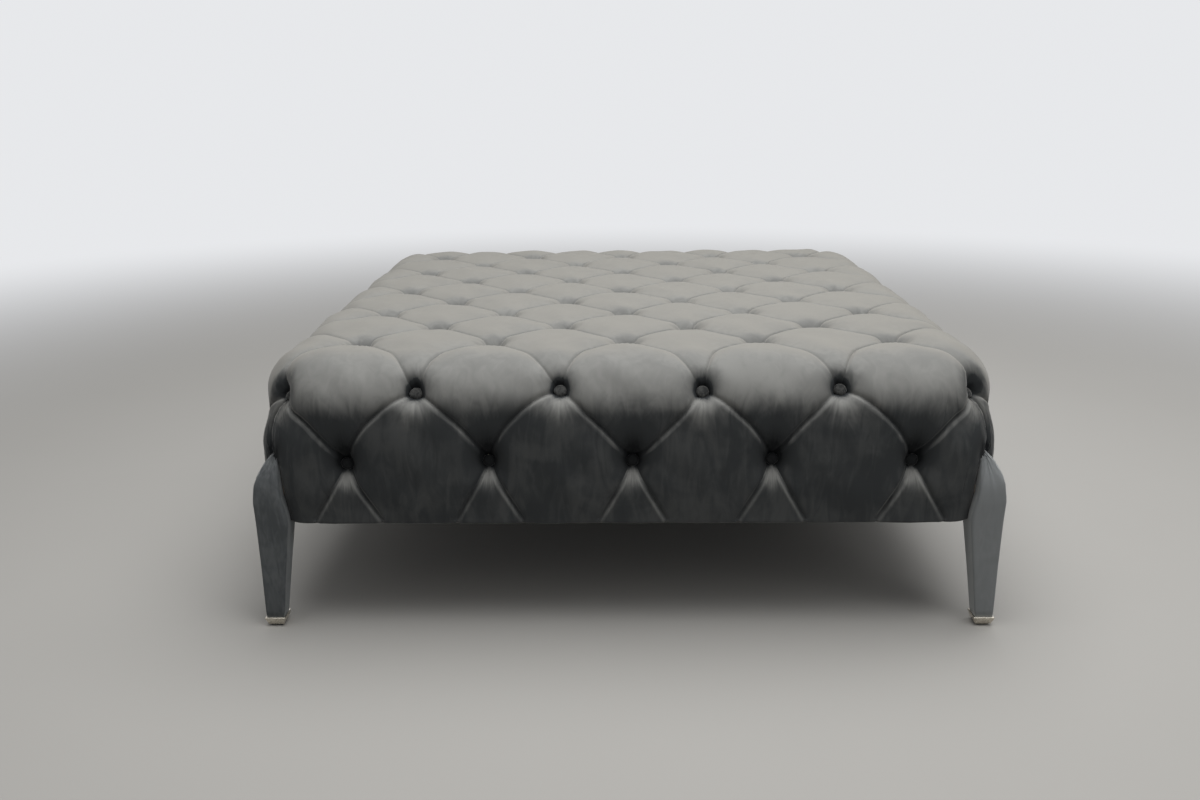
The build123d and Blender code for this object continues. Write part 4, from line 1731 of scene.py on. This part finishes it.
@dataclass
class VelvetLegs:
    """Tapered legs in velvet, with a padded shoulder that rises to the low corner button."""

    bottom: float = 0.0142
    top: float = 0.2650
    outer: tuple[tuple[float, float], ...] = (
        (0.0142, 0.5388),
        (0.0170, 0.5392),
        (0.100, 0.5394),
        (0.160, 0.5402),
        (0.200, 0.5412),
        (0.222, 0.5388),
        (0.237, 0.5335),
        (0.250, 0.5260),
        (0.258, 0.5195),
        (0.265, 0.5120),
    )
    inner: tuple[tuple[float, float], ...] = (
        (0.0142, 0.5122),
        (0.090, 0.5028),
        (0.158, 0.4938),
        (0.170, 0.4930),
        (0.185, 0.4955),
        (0.205, 0.5000),
        (0.240, 0.5020),
        (0.265, 0.5060),
    )
    cuts: int = 31
    # Painted light by corner: the front right leg much paler, as if lit from the right, the others less.
    painted_lightness: tuple[float, ...] = (0.92, 0.30, 0.38, 0.22)

    def build(self) -> bpy.types.Object:
        """Models the leg at the front right corner.

        Returns:
            The leg.
        """
        deselect()
        bpy.ops.mesh.primitive_cube_add(size=2)
        leg = bpy.context.object
        bpy.ops.object.mode_set(mode="EDIT")
        bpy.ops.mesh.select_all(action="SELECT")
        bpy.ops.mesh.subdivide(number_cuts=self.cuts)
        bpy.ops.object.mode_set(mode="OBJECT")
        points = np.array([vertex.co for vertex in leg.data.vertices])
        across, along, rise = points.T
        share = (rise + 1) / 2
        share = 0.55 * share + 0.45 * (1 - (1 - share) ** 2)
        height = self.bottom + share * (self.top - self.bottom)
        ring = np.maximum(np.abs(across), np.abs(along))
        corner = np.interp(height, (0.0142, 0.19, 0.265), (11.0, 9.0, 3.0))
        squareness = np.maximum(ring, 1e-6)
        pull = (np.abs(across / squareness) ** corner + np.abs(along / squareness) ** corner) ** (-1 / corner)
        outer = np.interp(height, *zip(*self.outer))
        inner = np.interp(height, *zip(*self.inner))
        middle, half = (outer + inner) / 2, (outer - inner) / 2
        cap = np.where(rise > 0.999, (1 - ring**2) * 0.003, 0.0)
        x = middle + half * across * pull
        y = middle + half * along * pull
        top_point = np.array((0.5115, 0.5115, 0.2585))
        place = np.stack((x, y, height + cap), axis=-1)
        gap = place - top_point
        reach = np.linalg.norm(gap, axis=1)
        for axis in (0, 1):
            other = 1 - axis
            on_face = smooth_step(np.where(axis == 0, across, along), 0.80, 0.98)
            angle = np.arctan2(gap[:, other], -gap[:, 2])
            window = np.exp(-reach / 0.026) * (1 - np.exp(-reach / 0.006))
            ripple = np.cos(17 * angle + 1.1 + 2.0 * axis) + 0.5 * np.cos(29 * angle + 0.4)
            place[:, axis] += 0.0022 * on_face * window * ripple
        place[:, 1] *= -1
        leg.data.vertices.foreach_set("co", place.reshape(-1))
        leg.data.update()
        attribute = leg.data.attributes.new("stroke", "FLOAT", "POINT")
        # Painted light: the cloth is painted paler towards the top of the shoulder.
        attribute.data.foreach_set("value", (0.35 * np.exp(-reach / 0.03)).astype(np.float32))
        face_outwards(leg)
        activate(leg)
        bpy.ops.object.shade_smooth()
        return leg

    def dress(self) -> None:
        """Builds the four legs and puts them in place of the sleeves."""
        first = self.build()
        for corner in Corner:
            leg = turned_copy(first, f"velvet_leg_{corner.label}", corner.value)
            pile_tone = leg.data.attributes["stroke"].data
            values = np.array([item.value for item in pile_tone], np.float32) + self.painted_lightness[corner.value]
            pile_tone.foreach_set("value", values)
            dress(leg, Slot.LEG_VELVET, f"leg_sleeve_{corner.label}")
        bpy.data.objects.remove(first)


@dataclass
class MetalFeet:
    """Square metal caps that taper down to small plastic glides."""

    middle: float = 0.5255
    cap_top: float = 0.015
    cap_bottom: float = 0.003
    top_half: float = 0.0150
    bottom_half: float = 0.0115
    lip: float = 0.0022
    glide_half: float = 0.0085
    edge: float = 0.0007

    def block(self, half: float, low: float, high: float, name: str) -> bpy.types.Object:
        """Starts a square block at the front right foot.

        Args:
            half: Half of its width.
            low: Height of its underside.
            high: Height of its top.
            name: Name of the piece.

        Returns:
            The block.
        """
        deselect()
        place = (self.middle, -self.middle, (low + high) / 2)
        bpy.ops.mesh.primitive_cube_add(size=1, location=place, scale=(2 * half, 2 * half, high - low))
        piece = bpy.context.object
        piece.name = name
        settle(piece)
        return piece

    def select_by_height(self, piece: bpy.types.Object, low: float, high: float) -> None:
        """Selects the vertices between two heights, in edit mode.

        Args:
            piece: Active object.
            low: Lowest height.
            high: Highest height.
        """
        bpy.ops.object.mode_set(mode="EDIT")
        bpy.ops.mesh.select_mode(type="VERT")
        bpy.ops.mesh.select_all(action="DESELECT")
        bpy.ops.object.mode_set(mode="OBJECT")
        for vertex in piece.data.vertices:
            vertex.select = low <= vertex.co.z <= high
        bpy.ops.object.mode_set(mode="EDIT")

    def cap(self) -> bpy.types.Object:
        """Models the tapered cap with its straight lip at the top.

        Returns:
            The cap.
        """
        cap = self.block(self.top_half, self.cap_bottom, self.cap_top - self.lip, "cap")
        centre = (self.middle, -self.middle, self.cap_bottom)
        self.select_by_height(cap, 0.0, self.cap_bottom + 1e-5)
        share = self.bottom_half / self.top_half
        bpy.ops.transform.resize(value=(share, share, 1.0), center_override=centre)
        self.select_by_height(cap, self.cap_top - self.lip - 1e-5, 1.0)
        bpy.ops.mesh.extrude_region_move(TRANSFORM_OT_translate={"value": (0, 0, self.lip)})
        bpy.ops.mesh.select_all(action="SELECT")
        bpy.ops.mesh.bevel(offset=self.edge, segments=3, affect="EDGES")
        bpy.ops.object.mode_set(mode="OBJECT")
        soften(cap, 35)
        return cap

    def glide(self) -> bpy.types.Object:
        """Models the plastic glide under the cap.

        Returns:
            The glide.
        """
        glide = self.block(self.glide_half, 0.0, self.cap_bottom + 0.0004, "glide")
        activate(glide)
        bpy.ops.object.mode_set(mode="EDIT")
        bpy.ops.mesh.select_all(action="SELECT")
        bpy.ops.mesh.bevel(offset=0.0006, segments=2, affect="EDGES")
        bpy.ops.object.mode_set(mode="OBJECT")
        soften(glide, 35)
        return glide

    def dress(self) -> None:
        """Builds the feet and puts them in place of their nodes."""
        for first, slot, node in ((self.cap(), Slot.CAP_METAL, "foot_cap"), (self.glide(), Slot.DARK_PLASTIC, "glide")):
            for corner in Corner:
                piece = turned_copy(first, f"{node}_piece_{corner.label}", corner.value)
                dress(piece, slot, f"{node}_{corner.label}")
            bpy.data.objects.remove(first)


@dataclass
class DustCover:
    """Black cloth tacked under the rails."""

    half: float = 0.500
    height: float = 0.1688
    thickness: float = 0.0008
    sag: float = 0.0012
    corner_cut: float = 0.050
    cuts: int = 60

    def build(self) -> bpy.types.Object:
        """Models the cloth.

        Returns:
            The cloth.
        """
        deselect()
        bpy.ops.mesh.primitive_grid_add(
            x_subdivisions=self.cuts, y_subdivisions=self.cuts, size=2 * self.half, location=(0, 0, self.height)
        )
        cloth = bpy.context.object
        settle(cloth)
        activate(cloth)
        bpy.ops.object.mode_set(mode="EDIT")
        for across in (-1, 1):
            for along in (-1, 1):
                bpy.ops.mesh.select_all(action="SELECT")
                reach = self.half - self.corner_cut / 2
                bpy.ops.mesh.bisect(
                    plane_co=(across * reach, along * reach, self.height),
                    plane_no=(across, along, 0),
                    clear_outer=True,
                )
        bpy.ops.object.mode_set(mode="OBJECT")
        points = np.array([vertex.co for vertex in cloth.data.vertices])
        x, y = points[:, 0] / self.half, points[:, 1] / self.half
        hang = (1 - x**2) * (1 - y**2)
        creases = np.sin(38 * x + 7 * y) * np.sin(9 * x - 31 * y)
        points[:, 2] += self.sag * (0.35 * creases - 0.65) * hang
        cloth.data.vertices.foreach_set("co", points.reshape(-1))
        activate(cloth)
        wall = cloth.modifiers.new("wall", "SOLIDIFY")
        wall.thickness = self.thickness
        wall.offset = 0.0
        bpy.ops.object.modifier_apply(modifier=wall.name)
        face_outwards(cloth)
        soften(cloth)
        return cloth

    def dress(self) -> None:
        """Builds the cloth and puts it in place of its node."""
        cloth = self.build()
        cloth.name = "dust_cloth"
        dress(cloth, Slot.BLACK_CLOTH, "dust_cover")


@dataclass
class Filling:
    """Foam under the top and along the rails, inside the cover."""

    nodes: tuple[str, ...] = ("seat_foam", "front_pad", "right_pad", "back_pad", "left_pad")
    inset: float = 0.0008
    edge: float = 0.0040

    def build(self, node: str) -> bpy.types.Object:
        """Models the foam that a node stands for.

        Args:
            node: Name of the CAD node.

        Returns:
            The foam.
        """
        low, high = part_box(node)
        size = high - low - Vector((1, 1, 1)) * 2 * self.inset
        deselect()
        bpy.ops.mesh.primitive_cube_add(size=1, location=(low + high) / 2, scale=size)
        foam = bpy.context.object
        foam.name = f"cut_{node}"
        settle(foam)
        activate(foam)
        bpy.ops.object.mode_set(mode="EDIT")
        bpy.ops.mesh.select_all(action="SELECT")
        upright = node == "seat_foam"
        if upright:
            bpy.ops.mesh.select_all(action="DESELECT")
            bpy.ops.object.mode_set(mode="OBJECT")
            for edge in foam.data.edges:
                a, b = (foam.data.vertices[k].co for k in edge.vertices)
                edge.select = abs(a.z - b.z) > 0.5 * size.z
            bpy.ops.object.mode_set(mode="EDIT")
            bpy.ops.mesh.select_mode(type="EDGE")
            bpy.ops.mesh.bevel(offset=0.060, segments=1, affect="EDGES")
            bpy.ops.mesh.select_all(action="DESELECT")
            bpy.ops.object.mode_set(mode="OBJECT")
            for edge in foam.data.edges:
                edge.select = all(foam.data.vertices[k].co.z > high.z - 2 * self.inset for k in edge.vertices)
            bpy.ops.object.mode_set(mode="EDIT")
            bpy.ops.mesh.bevel(offset=0.024, segments=1, affect="EDGES")
        else:
            bpy.ops.mesh.bevel(offset=self.edge / 2, segments=2, affect="EDGES")
        bpy.ops.object.mode_set(mode="OBJECT")
        soften(foam, 50)
        return foam

    def dress(self) -> None:
        """Builds the foam and puts it in place of its nodes."""
        for node in self.nodes:
            foam = dress(self.build(node), Slot.FOAM, node)


@dataclass
class InnerFrame:
    """Wood, board, ties and bolts kept from the CAD, with better finishes."""

    slots: dict[str, Slot] = field(
        default_factory=lambda: {
            "deck_ties": Slot.TWINE,
            "rail_ties": Slot.TWINE,
            "deck_toggles": Slot.DARK_PLASTIC,
            "rail_toggles": Slot.DARK_PLASTIC,
            "leg_bolts": Slot.ZINC_STEEL,
            "deck": Slot.PLYWOOD,
        }
    )

    def slot_for(self, node: str) -> Slot:
        """Finish of a kept node.

        Args:
            node: Name of the CAD node.

        Returns:
            The slot.
        """
        return self.slots.get(node, Slot.BEECH)

    def dress(self, nodes: dict[str, bpy.types.Object]) -> None:
        """Gives each node that still shows its finish.

        Args:
            nodes: CAD nodes by name.
        """
        for name, node in nodes.items():
            if node.hide_render:
                continue
            slot = self.slot_for(name)
            node.data.materials.clear()
            node.data.materials.append(Wardrobe.get(slot))
            log.info("%s: kept, finished in %s", name, slot.value)


@dataclass
class Studio:
    """Camera, soft lights, pale floor and pale surroundings."""

    lens: float = 31.34
    camera_place: tuple[float, float, float] = (-0.0105, -1.931, 0.770)
    pitch: float = 16.72
    yaw: float = -1.111
    roll: float = 0.572
    floor_colour: Colour = (0.40, 0.39, 0.37)
    wall_colour: Colour = (0.80, 0.81, 0.83)
    ambient: float = 0.21

    def camera(self) -> None:
        """Places the camera at the photograph's viewpoint."""
        data = bpy.data.cameras.new("viewpoint")
        data.lens = self.lens
        data.sensor_width = 36.0
        data.clip_start = 0.01
        camera = bpy.data.objects.new("viewpoint", data)
        bpy.context.scene.collection.objects.link(camera)
        pitch, yaw, roll = (math.radians(angle) for angle in (self.pitch, self.yaw, self.roll))
        ahead = Vector((math.sin(yaw) * math.cos(pitch), math.cos(yaw) * math.cos(pitch), -math.sin(pitch)))
        right = Vector((math.cos(yaw), -math.sin(yaw), 0))
        down = ahead.cross(right)
        level, upright = right * math.cos(roll) + down * math.sin(roll), right * math.sin(roll) - down * math.cos(roll)
        turning = Matrix((level, upright, -ahead)).transposed().to_4x4()
        camera.matrix_world = Matrix.Translation(self.camera_place) @ turning
        bpy.context.scene.camera = camera

    def lamp(self, name: str, place: Sequence[float], aim: Sequence[float], size: tuple[float, float], power: float) -> None:
        """Adds a soft lamp.

        Args:
            name: Name of the lamp.
            place: Where it hangs.
            aim: Point that it faces.
            size: Width and depth in metres.
            power: Power in watts.
        """
        data = bpy.data.lights.new(name, "AREA")
        data.shape = "RECTANGLE"
        data.size, data.size_y = size
        data.energy = power
        lamp = bpy.data.objects.new(name, data)
        bpy.context.scene.collection.objects.link(lamp)
        lamp.location = place
        lamp.rotation_mode = "QUATERNION"
        lamp.rotation_quaternion = (Vector(aim) - Vector(place)).to_track_quat("-Z", "Y")

    def surroundings(self) -> None:
        """Lights the object dimly from all round and shows a pale ground behind it."""
        world = bpy.data.worlds.new("surroundings")
        bpy.context.scene.world = world
        world.use_nodes = True
        graph = Graph(world.node_tree)
        path = graph.add("ShaderNodeLightPath")
        seen = graph.math("MAXIMUM", path.outputs["Is Camera Ray"], path.outputs["Is Glossy Ray"])
        seen = graph.math("MAXIMUM", seen, path.outputs["Is Transmission Ray"])
        light = graph.add("ShaderNodeBackground", {"Color": (1.0, 1.0, 1.0, 1.0), "Strength": self.ambient})
        shown = graph.add("ShaderNodeBackground", {"Color": (*self.wall_colour, 1.0), "Strength": 1.0})
        mixed = graph.add("ShaderNodeMixShader", {0: seen, 1: light.outputs[0], 2: shown.outputs[0]})
        graph.add("ShaderNodeOutputWorld", {"Surface": mixed.outputs[0]})

    def floor(self) -> None:
        """Lays a plain pale floor that fades into the surroundings."""
        deselect()
        bpy.ops.mesh.primitive_circle_add(vertices=96, radius=9.0, fill_type="NGON")
        floor = bpy.context.object
        floor.name = "pale_floor"
        graph, material = new_material("pale_floor")
        place = graph.add("ShaderNodeTexCoord").outputs["Object"]
        reach = graph.add("ShaderNodeVectorMath", {0: place}, operation="LENGTH").outputs["Value"]
        faded = graph.ramp(reach, 1.3, 4.2)
        grain = graph.noise(place, 3.0, 5.0)
        colour = graph.blend(graph.math("MULTIPLY", grain, 0.25), self.floor_colour, tuple(0.86 * c for c in self.floor_colour))
        path = graph.add("ShaderNodeLightPath").outputs["Is Camera Ray"]
        shader = graph.add("ShaderNodeBsdfPrincipled", {"Base Color": colour, "Roughness": 0.8})
        glow = graph.add("ShaderNodeEmission", {"Color": (*self.wall_colour, 1.0), "Strength": 1.0})
        factor = graph.math("MULTIPLY", faded, path)
        mixed = graph.add("ShaderNodeMixShader", {0: factor, 1: shader.outputs[0], 2: glow.outputs[0]})
        graph.add("ShaderNodeOutputMaterial", {"Surface": mixed.outputs[0]})
        floor.data.materials.append(material)

    def build(self) -> None:
        """Sets up the studio."""
        bpy.context.scene.view_settings.view_transform = "Standard"
        self.camera()
        self.surroundings()
        self.floor()
        self.lamp("ceiling", (0.25, -0.15, 2.6), (0, 0.0, 0.3), (3.0, 2.4), 86.0)
        self.lamp("window", (2.2, -2.2, 2.0), (0, 0, 0.3), (1.6, 1.6), 12.0)


def main() -> None:
    """Builds the table's pieces in order, then the studio."""
    logging.basicConfig(level=logging.INFO, format="%(name)s: %(message)s")
    TuftedCover().dress()
    CoveredButtons().dress()
    VelvetLegs().dress()
    MetalFeet().dress()
    DustCover().dress()
    Filling().dress()
    InnerFrame().dress(frame["nodes"])
    Studio().build()


if __name__ == "__main__":
    main()
